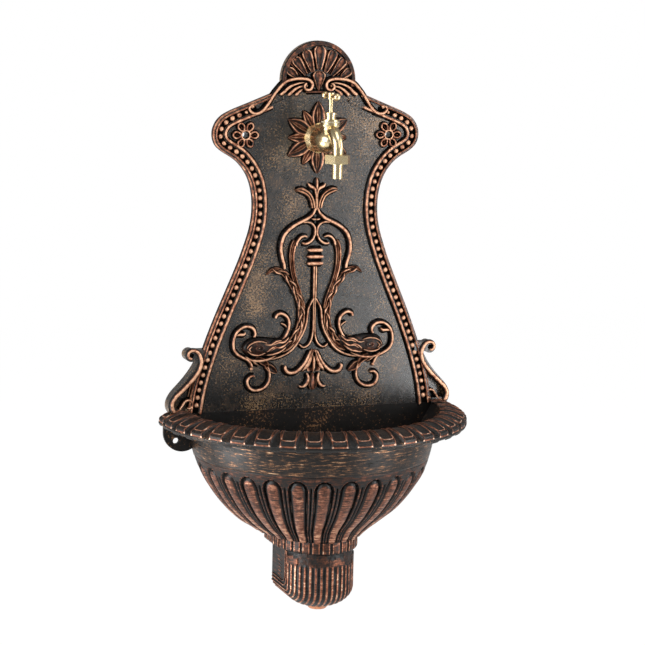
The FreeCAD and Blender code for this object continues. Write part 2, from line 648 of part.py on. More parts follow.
def spout(radius, z_low):
    path = spout_path(z_low)
    start = path.Edges[0].Vertexes[0].Point
    along = path.Edges[0].Vertexes[1].Point - start
    ring = Part.Wire(Part.Circle(start, along, radius).toShape())
    return path.makePipeShell([ring], True, True)


def tap_body():
    """Tail, barrel, valve chamber and spout, bored through."""
    barrel_start = plate_field_y() - WALL_FLANGE_THICKNESS - WALL_DOME_LENGTH
    tip = rod(TAP_TIP_RADIUS, TAP_TIP_LENGTH, Vector(0, TAP_TAIL_END_Y, TAP_Z), FORWARD)
    tail_end = TAP_TAIL_END_Y - TAP_TIP_LENGTH
    tail = rod(TAP_TAIL_RADIUS, tail_end - barrel_start, Vector(0, tail_end, TAP_Z), FORWARD)
    barrel = Part.makeCone(TAP_BARREL_RADIUS - 1.5, TAP_BARREL_RADIUS, barrel_start - VALVE_Y - 6.0,
                           Vector(0, barrel_start, TAP_Z), FORWARD)
    chamber = rod(CHAMBER_RADIUS, CHAMBER_TOP - CHAMBER_BOTTOM, Vector(0, VALVE_Y, CHAMBER_BOTTOM), UP)
    bulb = Part.makeSphere(BULB_RADIUS, Vector(0, BULB_Y, TAP_Z))
    nose = rod(SPOUT_THREAD_RADIUS, SPOUT_THREAD_LENGTH,
               Vector(0, SPOUT_Y, SPOUT_END_Z + SPOUT_THREAD_LENGTH), DOWN)
    body = joined(tip, tail, barrel, chamber, bulb, spout(SPOUT_RADIUS, SPOUT_END_Z), nose)
    inlet = rod(TAP_TAIL_BORE, TAP_TAIL_END_Y + 40.0, Vector(0, TAP_TAIL_END_Y, TAP_Z), FORWARD)
    lower = rod(CHAMBER_BORE - 1.5, SEAT_TOP - SEAT_THICKNESS - CHAMBER_BOTTOM - 3.0,
                Vector(0, VALVE_Y, CHAMBER_BOTTOM + 3.0), UP)
    slant = rod(SEAT_BORE, 30.0, Vector(0, -36.0, TAP_Z - 2.0), Vector(0, -28.0, -4.0))
    upper = rod(CHAMBER_BORE, CHAMBER_TOP - SEAT_TOP, Vector(0, VALVE_Y, SEAT_TOP), UP)
    seat = rod(SEAT_BORE, 12.0, Vector(0, VALVE_Y, SEAT_TOP - 8.0), UP)
    return body.cut([inlet, lower, slant, upper, seat, spout(SPOUT_BORE, SPOUT_END_Z)])


def back_washer():
    return sleeve(BACK_WASHER_RADIUS, TAP_TAIL_RADIUS + 0.1, BACK_WASHER_THICKNESS,
                  Vector(0, plate_back_y(), TAP_Z), BACKWARD)


def back_nut():
    base = Vector(0, plate_back_y() + BACK_WASHER_THICKNESS, TAP_Z)
    blank = nut_blank(BACK_NUT_RADIUS, BACK_NUT_HEIGHT, base, BACKWARD)
    return blank.cut(rod(TAP_TAIL_RADIUS + THREAD_CLEARANCE, BACK_NUT_HEIGHT, base, BACKWARD))


def bonnet():
    """The headwork that closes the chamber and guides the spindle."""
    seat_z = CHAMBER_TOP + HEAD_WASHER_THICKNESS
    base = Vector(0, VALVE_Y, seat_z)
    flange = rod(BONNET_FLANGE_RADIUS, BONNET_FLANGE_HEIGHT, base, UP)
    neck = rod(BONNET_RADIUS, BONNET_TOP - seat_z, base, UP)
    skirt = rod(BONNET_THREAD_RADIUS, BONNET_SINK, base, DOWN)
    body = joined(flange, neck, skirt)
    bore = rod(SPINDLE_RADIUS + SPINDLE_CLEARANCE, 60.0, Vector(0, VALVE_Y, seat_z - 30.0), UP)
    guide = carrier_section(CARRIER_CLEARANCE, seat_z - BONNET_SINK, SPINDLE_COLLAR_TOP + COLLAR_END_PLAY)
    packing_room = rod(PACKING_RADIUS, PACKING_DEPTH, Vector(0, VALVE_Y, BONNET_TOP), DOWN)
    return body.cut([bore, guide, packing_room])


def head_washer():
    return sleeve(BONNET_FLANGE_RADIUS, CHAMBER_BORE, HEAD_WASHER_THICKNESS,
                  Vector(0, VALVE_Y, CHAMBER_TOP), UP)


def gland_packing():
    return sleeve(PACKING_RADIUS, SPINDLE_RADIUS + SPINDLE_CLEARANCE, PACKING_DEPTH - 0.5,
                  Vector(0, VALVE_Y, BONNET_TOP - PACKING_DEPTH), UP)


def gland_nut():
    base = Vector(0, VALVE_Y, BONNET_TOP)
    cap = rod(GLAND_RADIUS, GLAND_HEIGHT, base, UP)
    plug = rod(PACKING_RADIUS - 0.2, 0.5, base, DOWN)
    return joined(cap, plug).cut(rod(SPINDLE_RADIUS + SPINDLE_CLEARANCE, 20.0,
                                     Vector(0, VALVE_Y, BONNET_TOP - 10.0), UP))


def carrier_section(clearance, low_z, top_z):
    """A round bar with two flats, which can slide along its axis but can't turn."""
    bar = rod(CARRIER_RADIUS + clearance, top_z - low_z, Vector(0, VALVE_Y, low_z), UP)
    width = CARRIER_FLATS + 2 * clearance
    flats = Part.makeBox(width, 4 * CARRIER_RADIUS, top_z - low_z,
                         Vector(-width / 2, VALVE_Y - 2 * CARRIER_RADIUS, low_z))
    return bar.common(flats)


def valve_low_z():
    """Underside of the valve's washer with the tap shut."""
    return SEAT_TOP + VALVE_GAP


def spindle():
    """Stem, thrust collar and the screw that draws the valve up."""
    stem = rod(SPINDLE_RADIUS, SPINDLE_TOP - SPINDLE_TIP, Vector(0, VALVE_Y, SPINDLE_TIP), UP)
    collar = rod(SPINDLE_COLLAR_RADIUS, SPINDLE_COLLAR_HEIGHT, Vector(0, VALVE_Y, SPINDLE_COLLAR_TOP), DOWN)
    screw = rod(SPINDLE_SCREW_RADIUS, SPINDLE_COLLAR_TOP - 1.0 - SPINDLE_TIP, Vector(0, VALVE_Y, SPINDLE_TIP), UP)
    return joined(stem, collar, screw)


def valve_carrier():
    """The plate above the valve's washer, with the nut of the spindle's screw."""
    base_z = valve_low_z() + VALVE_WASHER_THICKNESS
    disc = rod(CARRIER_PLATE_RADIUS, CARRIER_PLATE_THICKNESS, Vector(0, VALVE_Y, base_z), UP)
    body = joined(disc, carrier_section(0.0, base_z, CARRIER_TOP))
    low_z = SPINDLE_TIP - VALVE_LIFT - 0.5
    return body.cut(rod(SPINDLE_SCREW_RADIUS + SCREW_CLEARANCE, CARRIER_TOP - low_z + 1.0,
                        Vector(0, VALVE_Y, low_z), UP))


def valve_washer():
    return rod(CARRIER_PLATE_RADIUS, VALVE_WASHER_THICKNESS, Vector(0, VALVE_Y, valve_low_z()), UP)


def handle():
    """The T bar with a ball at each end, on a hub around the spindle."""
    bar = rod(HANDLE_BAR_RADIUS, 2 * HANDLE_HALF_LENGTH,
              Vector(0, VALVE_Y + HANDLE_HALF_LENGTH, HANDLE_Z), FORWARD)
    hub = rod(HANDLE_HUB_RADIUS, HANDLE_HUB_HEIGHT,
              Vector(0, VALVE_Y, HANDLE_Z - HANDLE_HUB_HEIGHT / 2), UP)
    balls = [Part.makeSphere(HANDLE_BALL_RADIUS, Vector(0, VALVE_Y + end * HANDLE_HALF_LENGTH, HANDLE_Z))
             for end in (-1, 1)]
    body = joined(bar, hub, *balls)
    return body.cut(rod(SPINDLE_RADIUS, 30.0, Vector(0, VALVE_Y, HANDLE_Z - 15.0), UP))


def union_nut():
    """The broad flat nut that clamps the nozzle to the spout."""
    top = Vector(0, SPOUT_Y, UNION_NUT_TOP)
    blank = nut_blank(UNION_NUT_RADIUS, UNION_NUT_HEIGHT, top, DOWN, UNION_NUT_SIDES)
    upper = rod(SPOUT_THREAD_RADIUS + THREAD_CLEARANCE, UNION_NUT_TOP - SPOUT_END_Z + 1.0, top + UP, DOWN)
    lip_room = rod(NOZZLE_LIP_RADIUS + NOZZLE_GAP, 1.0 + NOZZLE_WASHER_HEIGHT + NOZZLE_LIP_HEIGHT,
                   Vector(0, SPOUT_Y, SPOUT_END_Z + 1.0), DOWN)
    hole = rod(NOZZLE_RADIUS + NOZZLE_GAP, 2 * UNION_NUT_HEIGHT, top, DOWN)
    return blank.cut([upper, lip_room, hole])


def nozzle_washer():
    return sleeve(NOZZLE_LIP_RADIUS, SPOUT_BORE, NOZZLE_WASHER_HEIGHT, Vector(0, SPOUT_Y, SPOUT_END_Z), DOWN)


def nozzle():
    top_z = SPOUT_END_Z - NOZZLE_WASHER_HEIGHT
    top = Vector(0, SPOUT_Y, top_z)
    lip = rod(NOZZLE_LIP_RADIUS, NOZZLE_LIP_HEIGHT, top, DOWN)
    tube = rod(NOZZLE_RADIUS, top_z - NOZZLE_END_Z, top, DOWN)
    return joined(lip, tube).cut(rod(NOZZLE_BORE, top_z - NOZZLE_END_Z, top, DOWN))


NODES = {
    "back_plate": lambda: [back_plate()],
    "basin": lambda: [basin()],
    "drain_cover": lambda: [drain_cover()],
    "cover_stud": lambda: [cover_stud()],
    "finial_nut": lambda: [finial_nut()],
    "waste_fitting": lambda: [waste_fitting()],
    "waste_gasket": lambda: [waste_gasket()],
    "waste_washer": lambda: [waste_washer()],
    "waste_nut": lambda: [waste_nut()],
    "joint_studs": lambda: joint_pair(joint_stud),
    "joint_washers": lambda: joint_pair(joint_washer),
    "joint_nuts": lambda: joint_pair(joint_nut),
    "wall_flange": lambda: [wall_flange()],
    "tap_body": lambda: [tap_body()],
    "back_washer": lambda: [back_washer()],
    "back_nut": lambda: [back_nut()],
    "head_washer": lambda: [head_washer()],
    "bonnet": lambda: [bonnet()],
    "gland_packing": lambda: [gland_packing()],
    "gland_nut": lambda: [gland_nut()],
    "spindle": lambda: [spindle()],
    "handle": lambda: [handle()],
    "valve_carrier": lambda: [valve_carrier()],
    "valve_washer": lambda: [valve_washer()],
    "union_nut": lambda: [union_nut()],
    "nozzle_washer": lambda: [nozzle_washer()],
    "nozzle": lambda: [nozzle()],
}

os.makedirs("parts", exist_ok=True)
for node, make in NODES.items():
    solids = make()
    save(node, solids)
    for solid in solids:
        box = solid.BoundBox
        print(node, "valid", solid.isValid(), "solids", len(solid.Solids), "volume", round(solid.Volume),
              "box", [round(v, 1) for v in (box.XMin, box.XMax, box.YMin, box.YMax, box.ZMin, box.ZMax)])
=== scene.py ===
"""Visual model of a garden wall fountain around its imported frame.

A cast aluminium back plate with raised leaf work, a half round basin with a tongued rim and
gadroons, a ribbed drain cover and a brass bib tap. Sizes in the classes are in millimetres, in
the frame of the row: x to the right, y into the wall, z up.
"""

import bisect
import json
import logging
import math
from collections.abc import Callable, Sequence
from dataclasses import dataclass, field
from enum import Enum
from typing import Any

import bmesh
import bpy
from mathutils import Matrix, Vector


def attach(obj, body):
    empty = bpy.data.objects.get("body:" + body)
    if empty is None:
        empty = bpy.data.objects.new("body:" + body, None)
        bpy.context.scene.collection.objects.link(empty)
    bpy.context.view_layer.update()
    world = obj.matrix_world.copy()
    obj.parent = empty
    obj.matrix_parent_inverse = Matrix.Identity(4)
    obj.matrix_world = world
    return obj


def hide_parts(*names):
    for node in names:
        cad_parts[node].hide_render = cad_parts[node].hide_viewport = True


MM = 0.001
# Depth of the plate's field, on which the relief stands.
FIELD_Y = -15.4
# Nothing that is drawn comes nearer to the wall than this.
WALL_GAP = -0.3
# Corners nearer than this, in metres, are merged.
MERGE = 2e-6
# Range that most of a noise texture's values lie in.
NOISE_SPAN = (0.3, 0.7)
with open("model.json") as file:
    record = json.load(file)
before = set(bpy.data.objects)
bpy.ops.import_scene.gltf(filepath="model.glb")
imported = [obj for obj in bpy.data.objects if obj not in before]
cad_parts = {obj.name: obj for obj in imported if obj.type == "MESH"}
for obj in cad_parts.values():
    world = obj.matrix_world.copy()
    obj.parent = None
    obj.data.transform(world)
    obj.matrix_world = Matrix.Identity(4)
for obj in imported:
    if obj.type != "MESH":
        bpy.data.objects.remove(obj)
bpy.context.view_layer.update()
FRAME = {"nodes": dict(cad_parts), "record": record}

log = logging.getLogger("fountain")

Spot = tuple[float, ...]
# Place in millimetres and copper share of a mesh corner.
Corner = tuple[Vector, float]


# Lines and sections


class Line:
    """A smooth line through points, measured along its length.

    Attributes:
        PARTS: Straight parts between two points.
        REACH: How far before and behind a spot the direction is taken.
    """

    PARTS = 10
    REACH = 0.5

    def __init__(self, points: Sequence[Spot], closed: bool = False) -> None:
        """Join the points.

        Args:
            points: The points that the line goes through, of any dimension.
            closed: Whether the line runs back to its first point.
        """
        knots = [Vector(p) for p in points]
        if closed:
            knots = [knots[-1], *knots, knots[0], knots[1]]
        else:
            knots = [knots[0] * 2 - knots[1], *knots, knots[-1] * 2 - knots[-2]]
        self.closed = closed
        self.spots = [self._between(knots[i:i + 4], k / self.PARTS)
                      for i in range(len(knots) - 3) for k in range(self.PARTS)]
        self.spots.append(knots[-2])
        self.marks = [0.0]
        for here, there in zip(self.spots, self.spots[1:]):
            self.marks.append(self.marks[-1] + (there - here).length)
        self.length = self.marks[-1]

    @staticmethod
    def _between(knots: list[Vector], t: float) -> Vector:
        """Catmull-Rom point between the second and third of four knots."""
        a, b, c, d = knots
        return 0.5 * (2 * b + (c - a) * t + (2 * a - 5 * b + 4 * c - d) * t ** 2
                      + (3 * b - a - 3 * c + d) * t ** 3)

    def at(self, mark: float) -> Vector:
        """Point at a distance along the line.

        Args:
            mark: Distance from the start.

        Returns:
            The point.
        """
        if self.closed:
            mark %= self.length
        mark = min(max(mark, 0.0), self.length)
        i = min(bisect.bisect_right(self.marks, mark), len(self.marks) - 1)
        gap = self.marks[i] - self.marks[i - 1]
        share = (mark - self.marks[i - 1]) / gap if gap > 1e-9 else 0.0
        return self.spots[i - 1].lerp(self.spots[i], share)

    def way(self, mark: float) -> Vector:
        """Direction of travel at a distance along the line.

        Args:
            mark: Distance from the start.

        Returns:
            The direction, of length 1.
        """
        reach = min(self.REACH, self.length / 8)
        low, high = mark - reach, mark + reach
        if not self.closed:
            low, high = max(low, 0.0), min(high, self.length)
        return (self.at(high) - self.at(low)).normalized()


def blend_values(values: Sequence[float], share: float) -> float:
    """Value between evenly spaced values.

    Args:
        values: The values.
        share: Place among them, from 0 to 1.

    Returns:
        The value at that place.
    """
    if len(values) == 1:
        return values[0]
    place = min(max(share, 0.0), 1.0) * (len(values) - 1)
    i = min(int(place), len(values) - 2)
    return values[i] + (values[i + 1] - values[i]) * (place - i)


def smooth_step(value: float, low: float, high: float) -> float:
    """Rise from 0 to 1 between two limits."""
    share = min(max((value - low) / (high - low), 0.0), 1.0)
    return share * share * (3 - 2 * share)


def oval(x: float, z: float, half_x: float, half_z: float, steps: int) -> list[Spot]:
    """Points around an oval of the front view."""
    turns = [math.tau * i / steps for i in range(steps)]
    return [(x + half_x * math.cos(turn), z + half_z * math.sin(turn)) for turn in turns]


class Section(Enum):
    """Cross sections of raised work: place across, rise and how much copper shows."""

    ROUND = ((-1, 0, 0), (-.95, .42, .05), (-.76, .74, .4), (-.42, .95, .95), (0, 1, 1),
             (.42, .95, .95), (.76, .74, .4), (.95, .42, .05), (1, 0, 0))
    RIDGE = ((-1, 0, 0), (-.78, .32, .1), (-.45, .72, .6), (-.14, 1, 1), (.14, 1, 1),
             (.45, .72, .6), (.78, .32, .1), (1, 0, 0))
    SPOON = ((-1, 0, 0), (-.98, .6, .3), (-.86, 1, 1), (-.72, .9, .8), (-.56, .45, .2), (-.3, .3, .5),
             (0, .25, .6), (.3, .3, .5), (.56, .45, .2), (.72, .9, .8), (.86, 1, 1), (.98, .6, .3), (1, 0, 0))
    LEAF = ((-1, 0, 0), (-.97, .55, .3), (-.82, .95, 1), (-.62, .75, .8), (-.35, .35, .4), (-.14, .45, .6),
            (0, .8, .95), (.14, .45, .6), (.35, .35, .4), (.62, .75, .8), (.82, .95, 1), (.97, .55, .3), (1, 0, 0))
    DOUBLE = ((-1, 0, 0), (-.95, .55, .4), (-.66, 1, 1), (-.34, .85, .9), (-.08, .4, 0),
              (.08, .4, 0), (.34, .85, .9), (.66, 1, 1), (.95, .55, .4), (1, 0, 0))
    DROP = ((-1, 0, 0), (-.97, .5, .8), (-.84, .62, 1), (-.7, .5, .3), (-.4, .8, .55), (0, 1, .75),
            (.4, .8, .55), (.7, .5, .3), (.84, .62, 1), (.97, .5, .8), (1, 0, 0))
    BULB = ((-1, 0, -.2), (-.96, .35, .3), (-.85, .62, .85), (-.6, .86, .95), (-.25, .98, .8), (.25, .98, .8),
            (.6, .86, .95), (.85, .62, .85), (.96, .35, .3), (1, 0, -.2))
    FLAT = ((-1, 0, 0), (-.95, .75, .6), (-.8, 1, .95), (0, 1, .85), (.8, 1, .95), (.95, .75, .6), (1, 0, 0))


@dataclass(frozen=True)
class Stroke:
    """A raised line of the leaf work, given by x and z in the front view.

    Attributes:
        points: What the middle of the line goes through.
        widths: Whole widths, evenly spaced from its start to its end.
        height: Rise above the ground at its widest.
        section: Cross section.
        closed: Whether it runs back to its start.
        ground: Depth (y) that it stands on.
        skirt: Width of the low black margin beside it: unrubbed black that also stands as painted shade at its foot.
        rub: Share of the copper that shows on its top.
    """

    points: Sequence[Spot]
    widths: Sequence[float] = (3.0,)
    height: float = 3.0
    section: Section = Section.ROUND
    closed: bool = False
    ground: float = FIELD_Y
    skirt: float = 2.2
    rub: float = 1.0


@dataclass(frozen=True)
class Web:
    """A raised shape between two edge lines of the front view.

    Attributes:
        left: What its left edge goes through.
        right: What its right edge goes through.
        height: Rise above the ground at its widest.
        section: Cross section.
        ground: Depth (y) that it stands on.
        skirt: Width of the low black margin beside it: unrubbed black that also stands as painted shade at its foot.
        rub: Share of the copper that shows on its top.
    """

    left: Sequence[Spot]
    right: Sequence[Spot]
    height: float = 4.0
    section: Section = Section.LEAF
    ground: float = FIELD_Y
    skirt: float = 1.5
    rub: float = 1.0


@dataclass(frozen=True)
class Frame:
    """One cross section's place on the way along a raised line.

    Attributes:
        middle: Its middle in the front view.
        across: Direction from its middle to its right edge.
        half: Half of its width.
        rise: Its height.
        skirt: Width of the black margin beside it, painted shade at its foot.
    """

    middle: Vector
    across: Vector
    half: float
    rise: float
    skirt: float


# Building meshes


class Casting:
    """Collects the surfaces of one piece.

    Attributes:
        STEP: Spacing of the sections along a raised line.
        SINK: How deep raised work reaches into its ground.
        WIDEN: Growth of the drawn widths, as the rubbed tops look narrower than the work.
        RAISE: Growth of the drawn heights, so that they catch the light as in the casting.
        BARE_AND_SHADE: Copper share of the black margin: unrubbed paint, kept dull black as painted shade at the foot
            of the work.
        MARGIN: Height of the black margin beside the work and at its outer edge.
        THIN: Margins under this width are lowered too.
        ENDS: Places of the extra sections in a rounded end, as shares of its radius.
        WEB_END: Share of a web's length in which its end is rounded.
        NARROW: Height share of a stroke of no width, and its growth with the width.
        WEB_NARROW: The same two values for a web.
        SPIN_STEPS: Faces around a turned surface.
        RIDGE_STEPS: Sections along a ridge of a side wall.
        RIDGE_SINK: How deep such a ridge reaches into the wall.
        RIDGE_RISE: How far it stands out.
        RIDGE_HALF: Half of its width.
        RIDGE_RUB: Its copper share.
    """

    STEP = 1.3
    SINK = 0.4
    WIDEN = 1.32
    RAISE = 1.4
    BARE_AND_SHADE = -0.6
    MARGIN = (0.25, 0.1)
    THIN = 0.2
    ENDS = (0.12, 0.4)
    WEB_END = 0.04
    NARROW = (0.4, 1.2)
    WEB_NARROW = (0.45, 1.1)
    SPIN_STEPS = 64
    RIDGE_STEPS = 12
    RIDGE_SINK = 0.1
    RIDGE_RISE = 0.5
    RIDGE_HALF = 0.9
    RIDGE_RUB = 0.7

    def __init__(self, name: str) -> None:
        """Start an empty mesh.

        Args:
            name: Name of the piece.
        """
        self.name = name
        self.shape = bmesh.new()
        self.rub = self.shape.verts.layers.float.new("rub")

    def sheet(self, along: int, across: int, place: Callable[[int, int], Corner], side: int = 1) -> None:
        """Lay a grid, move each corner to its place and merge those that meet.

        Args:
            along: Number of steps along the grid.
            across: Number of steps across it.
            place: Gives a corner for its numbers along and across.
            side: -1 to lay the grid mirrored, on the left.
        """
        made = bmesh.ops.create_grid(self.shape, x_segments=along, y_segments=across, size=0.5)["verts"]
        for corner in made:
            spot, rub = place(round((corner.co.x + 0.5) * along), round((corner.co.y + 0.5) * across))
            corner.co = Vector((spot.x * side, spot.y, spot.z)) * MM
            corner[self.rub] = rub
        bmesh.ops.remove_doubles(self.shape, verts=made, dist=MERGE)

    def _loft(self, frames: Sequence[Frame], shape: Stroke | Web, mirrored: bool) -> None:
        """Carry a section over its frames, closed below.

        Args:
            frames: Places of the section along the way.
            shape: What is drawn, for its section, ground and copper.
            mirrored: Whether it is laid on the left side too.
        """
        # The black margin is unrubbed paint drawn dull and black over the flecked field, as painted shade at the foot
        # of the work.
        margin = [(1, 0, 0, self.MARGIN[0], self.BARE_AND_SHADE), (1, 1, 0, self.MARGIN[1], self.BARE_AND_SHADE),
                  (1, 1, 0, -self.SINK, self.BARE_AND_SHADE)]
        outline = [(-u, -skirt, *rest) for u, skirt, *rest in reversed(margin)]
        outline += [(u, 0, rise, self.MARGIN[0], rub) for u, rise, rub in shape.section.value] + margin

        def place(i: int, j: int) -> Corner:
            """Corner j of the section at frame i.

            Args:
                i: Number along the grid.
                j: Number across it.

            Returns:
                Its place and copper share.
            """
            frame = frames[i]
            u, skirt, rise, lift, copper = outline[j % len(outline)]
            lift *= min(1.0, frame.skirt / self.THIN) if lift > 0 else 1.0
            spot = frame.middle + frame.across * (u * frame.half + skirt * frame.skirt)
            depth = shape.ground - rise * frame.rise - lift
            return Vector((spot.x, depth, spot.y)), copper * shape.rub if copper > 0 else copper
        for side in (1, -1) if mirrored else (1,):
            self.sheet(len(frames) - 1, len(outline), place, side)

    def stroke(self, stroke: Stroke, mirrored: bool = True) -> None:
        """Raise a stroke.

        Args:
            stroke: What is raised.
            mirrored: Whether it is raised on both sides of the middle plane.
        """
        line = Line(stroke.points, stroke.closed)
        count = max(5, math.ceil(line.length / self.STEP))
        marks = {line.length * i / count for i in range(count + 1)}
        ends = (max(stroke.widths[0] / 2, 0.5), max(stroke.widths[-1] / 2, 0.5))
        if not stroke.closed:
            marks |= {ends[0] * f for f in self.ENDS} | {line.length - ends[1] * f for f in self.ENDS}
        widest = max(stroke.widths)
        frames = []
        for mark in sorted(m for m in marks if -1e-9 <= m <= line.length + 1e-9):
            half = blend_values(stroke.widths, mark / line.length) * self.WIDEN / 2
            close = 1.0
            if not stroke.closed:
                near = min(mark / ends[0], (line.length - mark) / ends[1], 1.0)
                close = math.sqrt(max(0.0, 1 - (1 - near) ** 2))
            way = line.way(mark)
            low, growth = self.NARROW
            rise = stroke.height * self.RAISE * min(1.0, low + growth * half / widest) * close
            frames.append(Frame(line.at(mark), Vector((way.y, -way.x)), half * close, rise, stroke.skirt * close))
        self._loft(frames, stroke, mirrored)

    def strokes(self, rows: Sequence[tuple[Any, ...]]) -> None:
        """Raise strokes on both sides, given as rows of a stroke's first fields."""
        for row in rows:
            self.stroke(Stroke(*row))

    def web(self, web: Web, mirrored: bool = True) -> None:
        """Raise a shape between two edges.

        Args:
            web: What is raised.
            mirrored: Whether it is raised on both sides of the middle plane.
        """
        left, right = Line(web.left), Line(web.right)
        count = max(6, math.ceil(max(left.length, right.length) / self.STEP))
        shares = sorted({i / count for i in range(count + 1)} | {0.15 / count, 1 - 0.15 / count})
        wide = max((left.at(left.length * s) - right.at(right.length * s)).length for s in shares)
        frames = []
        for share in shares:
            a, b = left.at(left.length * share), right.at(right.length * share)
            half = (b - a).length / 2
            across = (b - a).normalized() if half > 1e-6 else Vector((1, 0))
            close = math.sqrt(max(0.0, 1 - (1 - min(share, 1 - share, self.WEB_END) / self.WEB_END) ** 2))
            low, growth = self.WEB_NARROW
            rise = web.height * min(1.0, low + growth * half / wide) * close
            frames.append(Frame((a + b) / 2, across, half * close, rise, web.skirt * close))
        self._loft(frames, web, mirrored)

    def bead(self, x: float, z: float, radius: float, ground: float = FIELD_Y, rise: float = 3.6) -> None:
        """Set a round bead into the ground, on both sides of the middle plane.

        Args:
            x: Distance of its middle from the middle plane.
            z: Height of its middle.
            radius: Radius in the front view.
            ground: Depth (y) of its middle.
            rise: How far it stands out.
        """
        for side in (1, -1):
            spot = Matrix.Translation(Vector((x * side, ground, z)) * MM)
            flat = Matrix.Diagonal((1.0, rise / radius, 1.0, 1.0))
            made = bmesh.ops.create_icosphere(self.shape, subdivisions=2, radius=radius * MM, matrix=spot @ flat)
            for corner in made["verts"]:
                corner[self.rub] = smooth_step(-(corner.co.y / MM - ground), 0.2 * rise, 0.75 * rise)

    def turned(self, profile: Sequence[Spot], centre: Vector, axis: Vector) -> None:
        """Spin a profile of radius and distance around an axis.

        Args:
            profile: Radius and distance along the axis, closed on the axis or on itself.
            centre: Point in millimetres that the distances start from.
            axis: Direction of the axis.
        """
        turn = Vector((0, 0, 1)).rotation_difference(axis).to_matrix().to_4x4()
        place = Matrix.Translation(centre * MM) @ turn
        corners = [self.shape.verts.new(place @ (Vector((r, 0, h)) * MM)) for r, h in profile]
        edges = [self.shape.edges.new(pair) for pair in zip(corners, corners[1:])]
        bmesh.ops.spin(self.shape, geom=corners + edges, cent=place.to_translation(), axis=axis,
                       angle=math.tau, steps=self.SPIN_STEPS, use_merge=True, use_duplicate=False)
        bmesh.ops.remove_doubles(self.shape, verts=self.shape.verts[:], dist=MERGE)

    def stroke_side(self, side: int, reach: tuple[float, float], z: float, x: float) -> None:
        """Lay a thin ridge along the depth on a flat side wall.

        Args:
            side: 1 for the right wall, -1 for the left.
            reach: Depths (y) of its ends.
            z: Height.
            x: Distance of the wall from the middle plane.
        """
        def place(i: int, j: int) -> Corner:
            """Corner j of the ridge's section i.

            Args:
                i: Number along the grid.
                j: Number across it.

            Returns:
                Its place and copper share.
            """
            share = i / self.RIDGE_STEPS
            end = math.sin(math.pi * share)
            turn = math.pi * (j % 5) / 4
            out = x - self.RIDGE_SINK + self.RIDGE_RISE * end * math.sin(turn)
            y = reach[0] + (reach[1] - reach[0]) * share
            return Vector((side * out, y, z + self.RIDGE_HALF * end * math.cos(turn))), self.RIDGE_RUB * end
        self.sheet(self.RIDGE_STEPS, 5, place)

    def finish(self, body: str, slot: str, material: bpy.types.Material, sharp: float = 42.0,
               wall: float = 0.0) -> bpy.types.Object:
        """Make the object, dress it and fix it to its body.

        Args:
            body: CAD body that it moves with.
            slot: Material slot of the record; not used.
            material: Its finish.
            sharp: Angle in degrees from which an edge stays sharp.
            wall: Thickness that an open surface gets inwards, or 0.

        Returns:
            The new object.
        """
        bmesh.ops.recalc_face_normals(self.shape, faces=self.shape.faces[:])
        for face in self.shape.faces:
            face.smooth = True
        for edge in self.shape.edges:
            edge.smooth = edge.calc_face_angle(0.0) < math.radians(sharp)
        mesh = bpy.data.meshes.new(self.name)
        self.shape.to_mesh(mesh)
        self.shape.free()
        mesh.materials.append(material)
        made = bpy.data.objects.new(self.name, mesh)
        bpy.context.scene.collection.objects.link(made)
        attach(made, body)
        if wall:
            skin = made.modifiers.new("wall", "SOLIDIFY")
            skin.thickness = wall * MM
            skin.offset = -1.0
        log.info("%s: %d faces", self.name, len(mesh.polygons))
        return made


# Plans of the basin and its cover


@dataclass(frozen=True)
class HalfRound:
    """Plan of a half round wall: straight sides from the wall into half an ellipse.

    Attributes:
        half_width: Half of its width.
        centre: Distance of the ellipse's centre from the wall.
        front: Distance of its front from the wall.
    """

    half_width: float
    centre: float
    front: float

    def line(self) -> Line:
        """Line from the right end round the front to the left end.

        Returns:
            The line, seen from above.
        """
        a, b = self.half_width, self.front - self.centre
        turns = [math.pi * i / 48 for i in range(49)]
        arc = [(a * math.cos(t), -self.centre - b * math.sin(t)) for t in turns]
        return Line([(a, 0.0), (a, -self.centre / 2), *arc, (-a, -self.centre / 2), (-a, 0.0)])


